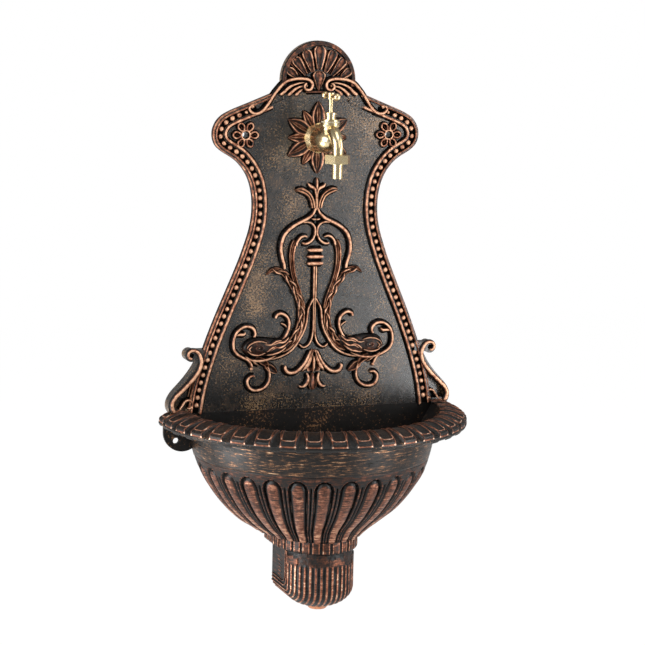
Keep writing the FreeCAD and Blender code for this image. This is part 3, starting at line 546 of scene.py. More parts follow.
class Bowl:
    """Outside of the cast bowl: its plan and the rise of the gadroons at each height.

    Attributes:
        LINE: Height, half width, centre, front and rise, from the foot up.
        HEIGHTS: The heights of its spots.
        GAP: Least distance of the drawn skin from the casting.
        MIDDLE_Y: Depth of a point inside the bowl.
        REACH: How far above and below a height its slope is taken.
    """

    LINE = Line([(-518.0, 69.0, 2.0, 103.0, 1.8), (-511.0, 77.5, 2.0, 106.0, 2.4), (-499.0, 94.4, 4.0, 113.0, 3.2),
                 (-476.0, 116.4, 15.5, 136.4, 4.1), (-447.0, 136.4, 20.5, 157.4, 4.5),
                 (-423.0, 147.8, 21.5, 166.8, 4.5), (-400.0, 158.6, 18.0, 175.0, 1.0),
                 (-380.0, 160.3, 16.0, 178.0, 1.4)])
    HEIGHTS = [spot[0] for spot in LINE.spots]
    GAP = 0.35
    MIDDLE_Y = -40.0
    REACH = 0.6

    @classmethod
    def _at(cls, z: float) -> Vector:
        """Half width, centre, front and rise at a height, after the height itself.

        Args:
            z: Height.

        Returns:
            The five values.
        """
        i = min(max(bisect.bisect_right(cls.HEIGHTS, z), 1), len(cls.HEIGHTS) - 1)
        share = (z - cls.HEIGHTS[i - 1]) / (cls.HEIGHTS[i] - cls.HEIGHTS[i - 1])
        return cls.LINE.spots[i - 1].lerp(cls.LINE.spots[i], min(max(share, 0.0), 1.0))

    @classmethod
    def plan(cls, z: float) -> HalfRound:
        """Plan of the casting at a height."""
        spot = cls._at(z)
        return HalfRound(spot[1], spot[2], spot[3])

    @classmethod
    def rise(cls, z: float) -> float:
        """How far the plain band and the pods stand before the casting at a height."""
        return cls._at(z)[4]

    @classmethod
    def surface(cls, mark: float, z: float, rise: float, line: Line) -> Vector:
        """Point on the bowl, moved outwards.

        Args:
            mark: Distance around the bowl at this height.
            z: Height.
            rise: Distance from the casting.
            line: Plan line at this height.

        Returns:
            The point in millimetres.
        """
        spot, way = line.at(mark), line.way(mark)
        tilt = max(0.0, (cls.plan(z + cls.REACH).half_width - cls.plan(z - cls.REACH).half_width) / (2 * cls.REACH))
        level = Vector((way.y, -way.x, -tilt)).normalized()
        if level.x * spot.x + level.y * (spot.y - cls.MIDDLE_Y) < 0:
            level = Vector((-level.x, -level.y, level.z))
        place = Vector((spot.x, spot.y, z)) + level * rise
        return Vector((place.x, min(place.y, WALL_GAP), place.z))


# Finishes


def linear(colour: str) -> tuple[float, float, float, float]:
    """Linear colour of an sRGB hex value.

    Args:
        colour: The value, with its number sign.

    Returns:
        Red, green, blue and 1.
    """
    parts = [int(colour[i:i + 2], 16) / 255 for i in (1, 3, 5)]
    r, g, b = (p / 12.92 if p <= 0.04045 else ((p + 0.055) / 1.055) ** 2.4 for p in parts)
    return (r, g, b, 1.0)


def per_mm(size: float) -> float:
    """Texture scale that gives a pattern of about this size in millimetres."""
    return 1.0 / (size * MM)


def add_node(tree: bpy.types.NodeTree, kind: str, settings: dict[str, Any] | None = None,
             inputs: dict[str | int, Any] | None = None) -> bpy.types.Node:
    """Add a node with its settings, values and links.

    Args:
        tree: Node tree that it goes into.
        kind: Node type.
        settings: Properties; "stops" fills a colour ramp with (place, colour) pairs.
        inputs: Values, or output sockets to link, by input name or number.

    Returns:
        The node.
    """
    made = tree.nodes.new(kind)
    for name, value in (settings or {}).items():
        if name == "stops":
            ramp = made.color_ramp.elements
            while len(ramp) < len(value):
                ramp.new(0.5)
            for stop, (place, colour) in zip(ramp, value):
                stop.position = place
                stop.color = linear(colour)
        else:
            setattr(made, name, value)
    for key, value in (inputs or {}).items():
        if isinstance(value, bpy.types.NodeSocket):
            tree.links.new(value, made.inputs[key])
        else:
            made.inputs[key].default_value = value
    return made


def noise(tree: bpy.types.NodeTree, spot: bpy.types.NodeSocket, size: float, detail: float,
          roughness: float) -> bpy.types.NodeSocket:
    """Noise with patches of about a size.

    Args:
        tree: Node tree that it goes into.
        spot: Coordinates that it reads.
        size: Size of the patches in millimetres.
        detail: Number of finer layers.
        roughness: Strength of each finer layer.

    Returns:
        Its value.
    """
    return add_node(tree, "ShaderNodeTexNoise", inputs={"Vector": spot, "Scale": per_mm(size), "Detail": detail,
                                                        "Roughness": roughness}).outputs[0]


def rescale(tree: bpy.types.NodeTree, value: bpy.types.NodeSocket, source: tuple[float, float],
            target: tuple[float, float]) -> bpy.types.NodeSocket:
    """Carry a value from one range to another, held inside it.

    Args:
        tree: Node tree that it goes into.
        value: The value.
        source: Range that it comes from.
        target: Range that it goes to.

    Returns:
        The new value.
    """
    return add_node(tree, "ShaderNodeMapRange", inputs={0: value, 1: source[0], 2: source[1], 3: target[0],
                                                        4: target[1]}).outputs[0]


def start_material(name: str) -> tuple[bpy.types.Material, bpy.types.NodeTree]:
    """Start a material with an empty node tree.

    Args:
        name: Its name.

    Returns:
        The material and its tree.
    """
    made = bpy.data.materials.new(name)
    made.use_nodes = True
    made.node_tree.nodes.clear()
    return made, made.node_tree


class Ground(Enum):
    """What tells a cast surface where its copper shows: the rubbed share of its mesh, or chance alone."""

    RUB = "rub"
    PLAIN = "plain"


@dataclass(frozen=True)
class CastBronze:
    """Aluminium cast in sand, sprayed near-black and rubbed with copper paint on its high points.

    The eye sees a satin black ground with fine bronze flecks and broken, warm copper edges.

    Attributes:
        name: Name of the material.
        ground: What tells where the copper shows.
        black: Sprayed ground.
        brown: Thin copper over the black.
        copper: Full copper.
        gleam: Palest copper on the highest rubbed tops, partly a painted highlight.
        fleck: Colour of the flecks.
        fleck_share: How far a fleck covers the ground.
        fleck_from: Noise level from which a fleck shows.
        fleck_mm: Size of a fleck.
        brush: Strength of the brush marks.
        brush_mm: Width of a brush mark.
        stretch: Scale of the marks along each axis; a small one draws them out.
        wear: How much the copper changes from patch to patch.
        wear_mm: Size of a patch.
        lift: Copper that is added everywhere.
        sheen: How metallic full copper is.
        specular: Gloss of the surface.
        rough: Least and most roughness.
        grain_mm: Size of the sand's grain, coarser than real sand so that it shows.
        grain_depth: Depth of the grain in millimetres.
        PLACES: Copper levels of black, black again, brown, copper and gleam.
        METAL_SPAN: Copper levels over which the surface turns metallic.
        GLOSS_SPAN: Copper levels over which the gloss comes in; the black margins of painted shade lie below it.
        COVER_SPAN: Copper levels over which the flecks go under.
        CLOUD_MM: Size of the clouds that the flecks gather in.
        CLOUD_SHARE: Strength of the clouds.
        FLECK_EDGE: Noise range in which a fleck comes up to full strength.
    """

    PLACES = (0.0, 0.34, 0.54, 0.78, 1.0)
    METAL_SPAN = (0.3, 0.85)
    GLOSS_SPAN = (-0.35, 0.0)
    COVER_SPAN = (0.45, 0.6)
    CLOUD_MM = 55.0
    CLOUD_SHARE = 0.45
    FLECK_EDGE = 0.07

    name: str
    ground: Ground = Ground.RUB
    black: str = "#0d0b0a"
    brown: str = "#3c2318"
    copper: str = "#935a41"
    gleam: str = "#dfae8c"
    fleck: str = "#80624d"
    fleck_share: float = 0.0
    fleck_from: float = 0.77
    fleck_mm: float = 1.7
    brush: float = 0.0
    brush_mm: float = 2.0
    stretch: Spot = (1.0, 1.0, 1.0)
    wear: float = 1.5
    wear_mm: float = 7.0
    lift: float = 0.0
    sheen: float = 0.35
    specular: float = 0.3
    rough: tuple[float, float] = (0.34, 0.5)
    grain_mm: float = 1.4
    grain_depth: float = 0.25

    def build(self) -> bpy.types.Material:
        """Make the material.

        Returns:
            The material.
        """
        made, tree = start_material(self.name)
        spot = add_node(tree, "ShaderNodeTexCoord").outputs["Object"]
        patch = noise(tree, spot, self.wear_mm, 6.0, 0.72)
        level = add_node(tree, "ShaderNodeMath", {"operation": "MULTIPLY_ADD"},
                         {0: patch, 1: self.wear, 2: self.lift - self.wear / 2}).outputs[0]
        if self.ground is Ground.RUB:
            rub = add_node(tree, "ShaderNodeAttribute", {"attribute_name": "rub"}).outputs["Fac"]
            level = add_node(tree, "ShaderNodeMath", {"operation": "ADD"}, {0: rub, 1: level}).outputs[0]
        if self.brush:
            level = self._brushed(tree, spot, level)
        # Past full copper the ramp turns to the pale gleam, a painted highlight on the highest rubbed tops.
        tones = (self.black, self.black, self.brown, self.copper, self.gleam)
        colour = add_node(tree, "ShaderNodeValToRGB", {"stops": list(zip(self.PLACES, tones))}, {0: level}).outputs[0]
        if self.fleck_share:
            colour = self._flecked(tree, spot, level, colour)
        metal = rescale(tree, level, self.METAL_SPAN, (0.0, self.sheen))
        rough = rescale(tree, patch, NOISE_SPAN, self.rough)
        gloss = rescale(tree, level, self.GLOSS_SPAN, (0.0, self.specular))
        bump = add_node(tree, "ShaderNodeBump", inputs={"Strength": 1.0, "Distance": self.grain_depth * MM,
                                                        "Height": noise(tree, spot, self.grain_mm, 4.0, 0.65)})
        shader = add_node(tree, "ShaderNodeBsdfPrincipled", inputs={
            "Base Color": colour, "Metallic": metal, "Roughness": rough, "Normal": bump.outputs[0],
            "Specular IOR Level": gloss}).outputs[0]
        add_node(tree, "ShaderNodeOutputMaterial", inputs={"Surface": shader})
        return made

    def _brushed(self, tree: bpy.types.NodeTree, spot: bpy.types.NodeSocket,
                 level: bpy.types.NodeSocket) -> bpy.types.NodeSocket:
        """Add the streaks that a dry brush leaves.

        Args:
            tree: Node tree of the material.
            spot: Coordinates.
            level: Copper level.

        Returns:
            The new copper level.
        """
        wide = add_node(tree, "ShaderNodeVectorMath", {"operation": "MULTIPLY"},
                        {0: spot, 1: self.stretch}).outputs[0]
        marks = noise(tree, wide, self.brush_mm, 5.0, 0.72)
        drawn = rescale(tree, marks, NOISE_SPAN, (-self.brush, self.brush))
        return add_node(tree, "ShaderNodeMath", {"operation": "ADD"}, {0: level, 1: drawn}).outputs[0]

    def _flecked(self, tree: bpy.types.NodeTree, spot: bpy.types.NodeSocket, level: bpy.types.NodeSocket,
                 colour: bpy.types.NodeSocket) -> bpy.types.NodeSocket:
        """Strew bronze flecks over the black ground, thicker in some patches.

        Args:
            tree: Node tree of the material.
            spot: Coordinates.
            level: Copper level.
            colour: Colour without the flecks.

        Returns:
            The colour with the flecks.
        """
        mixed = add_node(tree, "ShaderNodeMath", {"operation": "MULTIPLY_ADD"},
                         {0: noise(tree, spot, self.CLOUD_MM, 3.0, 0.6), 1: self.CLOUD_SHARE,
                          2: noise(tree, spot, self.fleck_mm, 3.0, 0.75)}).outputs[0]
        share = rescale(tree, mixed, (self.fleck_from, self.fleck_from + self.FLECK_EDGE), (0.0, self.fleck_share))
        free = rescale(tree, level, self.COVER_SPAN, (1.0, 0.0))
        share = add_node(tree, "ShaderNodeMath", {"operation": "MULTIPLY"}, {0: share, 1: free}).outputs[0]
        return add_node(tree, "ShaderNodeMix", {"data_type": "RGBA"},
                        {0: share, 6: colour, 7: linear(self.fleck)}).outputs[2]


@dataclass(frozen=True)
class Metal:
    """Turned and buffed metal with soft lathe marks, or a plain moulded stuff.

    Attributes:
        name: Name of the material.
        light: Lighter tone.
        dark: Darker tone.
        rough: Roughness of the lighter and the darker patches.
        metallic: 1 for metal, 0 for rubber and fibre.
        CLOUD_MM: Size of the patches.
        MARK_MM: Size of the lathe marks, coarser than real ones so that they show.
        MARK_DEPTH: Depth of the lathe marks in millimetres.
    """

    CLOUD_MM = 9.0
    MARK_MM = 1.2
    MARK_DEPTH = 0.03

    name: str
    light: str
    dark: str
    rough: tuple[float, float] = (0.18, 0.32)
    metallic: float = 1.0

    def build(self) -> bpy.types.Material:
        """Make the material.

        Returns:
            The material.
        """
        made, tree = start_material(self.name)
        spot = add_node(tree, "ShaderNodeTexCoord").outputs["Object"]
        cloud = noise(tree, spot, self.CLOUD_MM, 4.0, 0.6)
        stops = list(zip(NOISE_SPAN, (self.dark, self.light)))
        tone = add_node(tree, "ShaderNodeValToRGB", {"stops": stops}, {0: cloud}).outputs[0]
        rough = rescale(tree, cloud, NOISE_SPAN, (self.rough[1], self.rough[0]))
        marks = noise(tree, spot, self.MARK_MM, 3.0, 0.5)
        bump = add_node(tree, "ShaderNodeBump", inputs={"Strength": 0.4, "Distance": self.MARK_DEPTH * MM,
                                                        "Height": marks}).outputs[0]
        shader = add_node(tree, "ShaderNodeBsdfPrincipled", inputs={
            "Base Color": tone, "Metallic": self.metallic, "Roughness": rough, "Normal": bump}).outputs[0]
        add_node(tree, "ShaderNodeOutputMaterial", inputs={"Surface": shader})
        return made


class Finishes:
    """All materials of the fountain."""

    def __init__(self) -> None:
        """Build each finish once."""
        level_brush = (0.1, 0.1, 1.0)
        # Field of the plate: satin black with clouds of beige flecks.
        self.plate = CastBronze("sand_cast_black_bronze_field", Ground.PLAIN, black="#121110", brown="#30251d",
                                copper="#86674c", gleam="#c8a888", fleck="#957656", fleck_share=0.85, fleck_mm=2.2,
                                wear=1.5, wear_mm=18.0, lift=0.3, brush=0.3, brush_mm=2.2, stretch=(1.0, 1.0, 0.35),
                                specular=0.9, rough=(0.22, 0.32), grain_mm=1.7, grain_depth=0.24).build()
        # Leaves, scrolls, rails and beads: warm copper tops that break off to black at their feet.
        self.relief = CastBronze("copper_rubbed_relief").build()
        # Inside and back of the basin: dull black with a few coarse flecks.
        self.basin = CastBronze("black_bronze_basin_casting", Ground.PLAIN, fleck="#8a6444", fleck_share=0.7,
                                fleck_from=0.81, fleck_mm=3.2, wear=0.4, grain_mm=2.4, grain_depth=0.3).build()
        # Band of the bowl: long level streaks of pale copper with a metal sheen.
        self.band = CastBronze("cross_brushed_bronze_band", Ground.PLAIN, black="#14100e", brown="#43342a",
                               copper="#94684a", gleam="#dcbd9c", brush=0.66, brush_mm=1.3,
                               stretch=(0.07, 0.07, 1.0), wear=1.3, wear_mm=12.0, lift=0.34, sheen=0.9, specular=0.3,
                               rough=(0.28, 0.4)).build()
        # Pods of the bowl: brown copper bellies with short level streaks, black between them.
        self.gadroons = CastBronze("brushed_copper_gadroons", copper="#825240", gleam="#cf9f80", brush=0.3,
                                   brush_mm=1.6, stretch=level_brush, wear=1.0, sheen=0.6).build()
        #         Rim: black tongues with thin pale outlines; their brightest parts and the pale lip are partly painted
        #             highlight.
        self.rim = CastBronze("copper_rubbed_rim", gleam="#ecd2b8", wear=0.9, wear_mm=5.0, fleck_share=0.15,
                              sheen=0.5).build()
        # Ribs and bars of the drain cover: bright copper stripes on black.
        self.cover = CastBronze("brushed_copper_cover", copper="#955a41", gleam="#e3c3a5", brush=0.16,
                                brush_mm=1.6, stretch=level_brush, wear=1.1, lift=-0.06, sheen=0.6).build()
        # Plain sides of the drain cover: black with faint level streaks.
        self.cover_plain = CastBronze("brushed_bronze_cover", Ground.PLAIN, brush=0.4, stretch=level_brush,
                                      wear=0.9, lift=0.3).build()
        # Button under the drain cover: rubbed to copper nearly all over.
        self.button = CastBronze("copper_rubbed_button", Ground.PLAIN, copper="#b0633c", wear=0.6, lift=0.85).build()
        # Polished brass: pale gold with soft reflections.
        self.brass = Metal("polished_cast_brass", "#e6d5ae", "#c2aa7c", (0.2, 0.3)).build()
        # Chrome plated brass: bright and neutral.
        self.chrome = Metal("chrome_plated_waste", "#dcdcdc", "#b8b8ba", (0.08, 0.16)).build()
        # Zinc plated steel: grey and a little dull.
        self.steel = Metal("zinc_plated_steel", "#b4b4b2", "#8f8f8d", (0.28, 0.42)).build()
        # Moulded rubber: black and matt.
        self.rubber = Metal("moulded_rubber", "#1c1c1c", "#121212", (0.6, 0.8), 0.0).build()
        # Pressed fibre: off-white and dull.
        self.fibre = Metal("pressed_fibre", "#cfc7b4", "#b5ab95", (0.75, 0.9), 0.0).build()


# Back plate


class PlateEdge:
    """Right edge of the back plate, from the shell's foot to the seam with the basin.

    Attributes:
        POINTS: What the edge goes through.
        STEP: Spacing of the points beside it.
    """

    POINTS = [(58.5, 54.6), (64.0, 51.8), (90.0, 41.2), (118.0, 29.9), (131.5, 21.3), (138.6, 9.8), (140.0, -1.5),
              (136.6, -12.0), (128.5, -20.0), (110.0, -31.6), (98.0, -44.5), (90.4, -59.0), (86.3, -75.0),
              (85.0, -91.0), (85.8, -107.0), (88.8, -123.0), (94.4, -141.0), (103.4, -165.5), (117.6, -199.0),
              (131.2, -230.5), (145.4, -266.5), (156.4, -300.0), (163.8, -329.0), (168.6, -358.0)]
    STEP = 4.0

    def __init__(self) -> None:
        """Measure the edge."""
        self.line = Line(self.POINTS)

    def inset(self, distance: float, start: float = 0.0) -> list[Spot]:
        """Points beside the edge.

        Args:
            distance: Distance from the edge, inwards.
            start: Length of edge left out at the top.

        Returns:
            The points, from the top down.
        """
        count = round((self.line.length - start) / self.STEP)
        points = []
        for i in range(count + 1):
            mark = start + (self.line.length - start) * i / count
            way = self.line.way(mark)
            spot = self.line.at(mark) + Vector((way.y, -way.x)) * distance
            points.append((spot.x, spot.y))
        return points


@dataclass
class Border:
    """Rails and beads along the edge of the plate.

    Attributes:
        rails: Inset, width, height and depth of the ground of the two outer rails.
        inner_inset: Inset of the inner rail.
        bead_inset: Inset of the beads.
        bead_radius: Radius of a bead.
        bead_pitch: Spacing of the beads.
        first_bead: Place of the first bead along their line.
        first_scale: Size of the first bead against the others.
        free_end: Length without beads at the lower end.
    """

    rails: tuple[Spot, ...] = ((0.7, 1.7, 6.4, -9.4), (3.7, 1.6, 1.9, -17.4))
    inner_inset: float = 15.6
    bead_inset: float = 9.0
    bead_radius: float = 3.9
    bead_pitch: float = 10.05
    first_bead: float = 46.0
    first_scale: float = 0.72
    free_end: float = 2.0

    def build(self, finishes: Finishes) -> None:
        """Raise the rails and set the beads.

        Args:
            finishes: All materials.
        """
        edge = PlateEdge()
        rails = Casting("border_rails")
        for inset, width, height, ground in self.rails:
            rails.stroke(Stroke(edge.inset(inset, 2.0), (width,), height, Section.BULB, ground=ground, skirt=0.1,
                                rub=0.86))
        rails.stroke(Stroke(edge.inset(self.inner_inset, 10.0), (3.7,), 3.4, skirt=1.4, rub=0.9))
        rails.finish("fountain", "bronzed_casting", finishes.relief)
        channel = Casting("border_beads")
        # A dull black strip under the beads: unrubbed paint, darkened further as painted shade in the channel between
        # the rails.
        channel.stroke(Stroke(edge.inset(self.bead_inset, 30.0), (6.8,), 0.3, Section.FLAT, skirt=0.2, rub=-0.6))
        line = Line(edge.inset(self.bead_inset))
        mark, scale = self.first_bead, self.first_scale
        while mark < line.length - self.free_end:
            spot = line.at(mark)
            channel.bead(spot.x, spot.y, self.bead_radius * scale)
            mark, scale = mark + self.bead_pitch, 1.0
        channel.finish("fountain", "bronzed_casting", finishes.relief)


@dataclass
class Shell:
    """Fan of spoon petals over the plate, with the scrolls at its foot.

    Attributes:
        rim_radius: Radius of the rim.
        centre_z: Height of its centre.
        low_turn: Angle below level, in degrees, at which the rim starts and ends.
        PETALS: Tip, foot and widths of the petals beside the middle one.
        RIBS: Tip and foot of the ribs between the petals.
        SCROLL: What the S scroll goes through.
        FEATHERS: What the feather strokes under it go through.
    """

    PETALS = (((19.6, 108), (8.6, 80), (11, 10, 7, 3.5)), ((34.2, 98.2), (17, 76), (11, 9.5, 6.5, 3.5)),
              ((42.6, 83.8), (30, 74), (9.5, 8, 4.4)))
    RIBS = (((10.6, 108.5), (6.6, 82)), ((27.8, 103), (13.2, 78.5)), ((39.4, 91.5), (24, 75)))
    SCROLL = [(91.5, 37.5), (94, 33), (90, 28.5), (83, 27.5), (76, 31), (70, 38), (66, 44), (60, 53), (55, 59),
              (50, 64.5), (44, 68.5), (36, 71), (27, 72), (18, 71.5), (12, 69), (9.5, 64.5), (11, 59.5),
              (15, 57.5), (19, 59), (20.5, 62), (19, 65), (16.5, 66)]
    FEATHERS = ([(20, 67), (28, 66), (36, 63.5), (42, 60), (48, 54.5), (53, 51)],
                [(21, 62.5), (28, 61), (34, 57.5), (38, 54), (42, 50.5)],
                [(22, 58.5), (27, 55.5), (32, 50.5)])

    rim_radius: float = 47.0
    centre_z: float = 70.0
    low_turn: float = 10.0

    def build(self, finishes: Finishes) -> None:
        """Raise the rim, the petals, the ribs and the drop.

        Args:
            finishes: All materials.
        """
        made = Casting("shell_fan")
        turns = [math.radians(-self.low_turn + (180 + 2 * self.low_turn) * i / 40) for i in range(41)]
        ring = [(self.rim_radius * math.cos(t), self.centre_z + self.rim_radius * math.sin(t)) for t in turns]
        made.stroke(Stroke(ring, (4.2,), 2.4, Section.FLAT, skirt=0.3, rub=0.62), False)
        made.stroke(Stroke([(0, 113.8), (0, 98), (0, 83)], (14, 13, 9, 4.5), 4.0, Section.SPOON), False)
        for tip, foot, widths in self.PETALS:
            made.stroke(Stroke(self._straight(tip, foot), widths, 3.8, Section.SPOON))
        for tip, foot in self.RIBS:
            made.stroke(Stroke(self._straight(tip, foot), (1.8, 1.5, 1.2), 2.0, Section.RIDGE, skirt=1.0, rub=0.62))
        made.stroke(Stroke([(0, 82), (0, 75), (0, 66), (0, 56)], (11.5, 13.6, 9.5, 4.5, 0.6), 4.8, Section.DROP),
                    False)
        made.stroke(Stroke([(-17, 54.6), (0, 55.2), (9, 54.8)], (1.4, 2.0, 1.4), 2.2, rub=0.7), False)
        made.finish("fountain", "bronzed_casting", finishes.relief)
        self._scrolls(finishes)

    @staticmethod
    def _straight(tip: Spot, foot: Spot) -> list[Spot]:
        """Three points of a straight way."""
        return [tip, ((tip[0] + foot[0]) / 2, (tip[1] + foot[1]) / 2), foot]

    def _scrolls(self, finishes: Finishes) -> None:
        """Raise the S scrolls and the feather strokes under them.

        Args:
            finishes: All materials.
        """
        made = Casting("shell_scrolls")
        made.stroke(Stroke(self.SCROLL, (3.2, 3.9, 3.7, 3.7, 3.9, 3.7, 2.8), 4.6))
        made.bead(89.5, 36.5, 3.4, rise=5.0)
        made.bead(16.6, 62.6, 2.0, rise=4.6)
        for points in self.FEATHERS:
            made.stroke(Stroke(points, (1.5, 2.8, 3.9, 4.2), 3.8, skirt=1.4))
        made.finish("fountain", "bronzed_casting", finishes.relief)


@dataclass
class Flowers:
    """Rosettes around the upper screw holes and the flower behind the tap.

    Attributes:
        petals: Petals of a rosette, and large petals of the flower.
        rosette_x: Distance of a screw hole from the middle plane.
        ring_radius: Radius of the ring around the hole.
        tap_z: Height of the flower's middle.
        LOOP: Outline of a rosette's petal.
    """

    LOOP = [(6.4, 1.2), (9.5, 3.4), (13.4, 3.9), (16.4, 1.4), (16.4, -1.4), (13.4, -3.9), (9.5, -3.4), (6.4, -1.2)]

    petals: int = 6
    rosette_x: float = 97.7
    ring_radius: float = 5.7
    tap_z: float = -3.6

    def build(self, finishes: Finishes) -> None:
        """Raise the petals.

        Args:
            finishes: All materials.
        """
        made = Casting("screw_rosettes")
        step = 360 / self.petals
        hole, tail = (self.rosette_x, 0.0), (0.0, self.tap_z)
        for i in range(self.petals):
            loop = self._turned(self.LOOP, step * i, hole)
            made.stroke(Stroke(loop, (2.3,), 3.0, closed=True, skirt=1.2, rub=0.84))
            vein = self._turned([(8, 0), (11, 0), (14, 0)], step * i, hole)
            made.stroke(Stroke(vein, (0.9,), 1.8, Section.RIDGE, skirt=0.6, rub=0.7))
        ring = oval(*hole, self.ring_radius, self.ring_radius, 16)
        made.stroke(Stroke(ring, (2.0,), 3.2, closed=True, skirt=0.3))
        made.finish("fountain", "bronzed_casting", finishes.relief)
        flower = Casting("tap_flower")
        for i in range(self.petals):
            small = self._turned([(14, 0), (24, 0), (33, 0), (40, 0)], step * i, tail)
            flower.stroke(Stroke(small, (5.5, 10, 9.5, 6, 0.6), 2.8, Section.LEAF, skirt=1.8), False)
        for i in range(self.petals):
            turn = step * (i + 0.5)
            large = self._turned([(13, 0), (22, 0), (32, 0), (40, 0), (46.5, 0)], turn, tail)
            flower.stroke(Stroke(large, (7, 12, 14.5, 13, 8, 0.6), 4.0, Section.SPOON, skirt=1.8), False)
            for side in (-1, 1):
                vein = self._turned([(16, side * 1.3), (26, side * 2.0), (34, side * 1.5), (40, side * 0.5)],
                                    turn, tail)
                flower.stroke(Stroke(vein, (1.2, 1.4, 0.7), 2.6, Section.RIDGE, skirt=0.3, rub=0.85), False)
        flower.finish("fountain", "bronzed_casting", finishes.relief)

    @staticmethod
    def _turned(points: Sequence[Spot], degrees: float, centre: Spot) -> list[Spot]:
        """Points turned about a centre of the front view.

        Args:
            points: The points, seen from the centre.
            degrees: Angle of the turn.
            centre: The centre.

        Returns:
            The turned points.
        """
        c, s = math.cos(math.radians(degrees)), math.sin(math.radians(degrees))
        return [(centre[0] + x * c - y * s, centre[1] + x * s + y * c) for x, y in points]


class CentreWork:
    """Lyre, stems and leaves in the middle of the plate, given for the right half.

    Attributes:
        STROKES: Points, widths, height and, where it isn't round, section.
        WEBS: Left edge, right edge and height.
        BAR_ROWS: Height and half width of the bars over the stems.
        SPINE: Middle of the acanthus.
        LEAFLETS: Number of leaflets on it.
    """

    STROKES = (
        # Crown over the lyre
        ([(12, -62.5), (9, -66), (5, -68), (2.2, -71), (0.8, -78)], (1.6, 4.2, 3.6, 2.4, 1.6), 3.6),
        ([(0.8, -76), (0.8, -86), (0.8, -98)], (1.6, 2.2, 2.0), 3.4),
        ([(29, -71.5), (24, -70.6), (17.5, -72.5), (11, -77), (7.2, -83), (5.4, -89), (4.6, -95)],
         (2.0, 5.6, 5.2, 4.6, 4.6, 4.0), 4.4, Section.DOUBLE),
        # Lyre
        ([(1.6, -94), (3.4, -99.5), (7, -103.6), (12, -107.6), (20, -111.6), (29, -116), (37, -121.6), (43.5, -129),
          (47, -139), (47.8, -148), (46, -158), (43.4, -166), (42, -174)],
         (2.6, 3.8, 4.2, 4.2, 4.4, 4.2, 4.0, 3.6), 4.8),
        ([(1.6, -131), (1.4, -123), (2.6, -118.5), (6.4, -114.4), (12, -112.6), (18.6, -113)],
         (2.6, 2.8, 2.6, 2.2, 2.0), 4.2),
        ([(1.8, -129), (4.5, -135), (9.5, -139.4), (14.8, -140.8), (18.6, -139.6)],
         (2.2, 2.8, 3.0, 3.4), 4.2),
        ([(0, -109.2), (3.5, -109.2), (6, -108.4)], (2.4, 2.2, 1.2), 3.2),
        ([(11.5, -132.4), (16, -130.6), (21.5, -132.8), (25.4, -138), (27, -144)],
         (1.8, 3.2, 3.0, 3.4), 4.4),
        # Middle stem and its curls
        ([(1.5, -170), (1.5, -190), (1.4, -212)], (2.2, 2.2, 2.0), 3.4),
        ([(1.2, -211), (1.1, -230), (1.1, -250), (2.2, -263), (5.2, -271), (10, -275.8), (15, -276.6), (20, -273)],
         (1.8, 1.6, 1.6, 1.8, 2.2, 2.4, 1.8), 3.4),
        ([(1.4, -212.5), (5, -218.5), (8.6, -226), (9.8, -235), (11, -245), (14, -255), (19, -264), (24, -272),
          (30, -279), (38, -284.5), (48, -288.5), (58, -290.8), (64, -291.2)],
         (2.0, 2.4, 2.6, 2.8, 3.0, 3.0, 2.6, 1.6), 4.4),
    )
    WEBS = (
        # Inner leaf with its stem
        ([(24.5, -138), (27, -146), (28.6, -156), (28.2, -168), (26.2, -180), (22.6, -192), (18, -204), (14, -216),
          (12, -228)],
         [(30.5, -134.5), (34.5, -143), (36, -153), (35.5, -165), (33.5, -178), (30, -190), (26, -202), (22.4, -214),
          (20.6, -226)], 4.6),
        # Acanthus with its side leaf
        ([(67, -181.5), (60.5, -177.6), (53, -176.6), (46, -180.6), (40, -187.5), (34, -196.5), (28, -208), (24, -220),
          (22.6, -235), (24.5, -248), (30, -260), (38, -268.4), (48, -272)],
         [(66, -178.6), (60, -172.6), (52, -171), (43.6, -174), (36, -182), (29, -192), (21.5, -205), (15.5, -219),
          (12.6, -236), (15, -253), (22.5, -268), (33, -279.4), (47, -285)], 5.2),
    )
    BAR_ROWS = ((-149.2, 9.8), (-157.8, 10.8), (-166.6, 10.8))
    SPINE = [(56, -174), (45, -177.6), (36, -187), (28, -200), (21.5, -213), (17.8, -228), (18.4, -243),
             (24, -257), (33, -269), (45, -277)]
    LEAFLETS = 13

    def build(self, finishes: Finishes) -> None:
        """Raise the ornament.

        Args:
            finishes: All materials.
        """
        made = Casting("centre_leafwork")
        made.stroke(Stroke([(0, -55), (0, -63), (0, -71)], (0.6, 4.4, 4.6, 2.0), 4.2, Section.RIDGE), False)
        made.strokes(self.STROKES)
        for left, right, height in self.WEBS:
            made.web(Web(left, right, height))
        for z, half in self.BAR_ROWS:
            made.stroke(Stroke([(-half, z), (0, z), (half, z)], (4.4, 5.0, 5.0, 4.4), 5.4), False)
        self._leaflets(made)
        made.finish("fountain", "bronzed_casting", finishes.relief)

    def _leaflets(self, made: Casting) -> None:
        """Lay short strokes along the acanthus, to the left and the right of its middle in turn.

        Args:
            made: The piece that they belong to.
        """
        spine = Line(self.SPINE)
        for i in range(self.LEAFLETS):
            mark = spine.length * (i + 0.4) / (self.LEAFLETS + 0.6)
            spot, way = spine.at(mark), spine.way(mark)
            across = Vector((way.y, -way.x)) * (1 if i % 2 else -1)
            root, tip = spot - way * 6.5 - across * 0.6, spot + way * 7.5 + across * 3.4
            belly = spot + across * 2.6
            made.stroke(Stroke([tuple(root), tuple(belly), tuple(tip)], (1.2, 4.2, 0.8), 3.0, Section.RIDGE,
                               ground=FIELD_Y - 2.6, skirt=0.7))


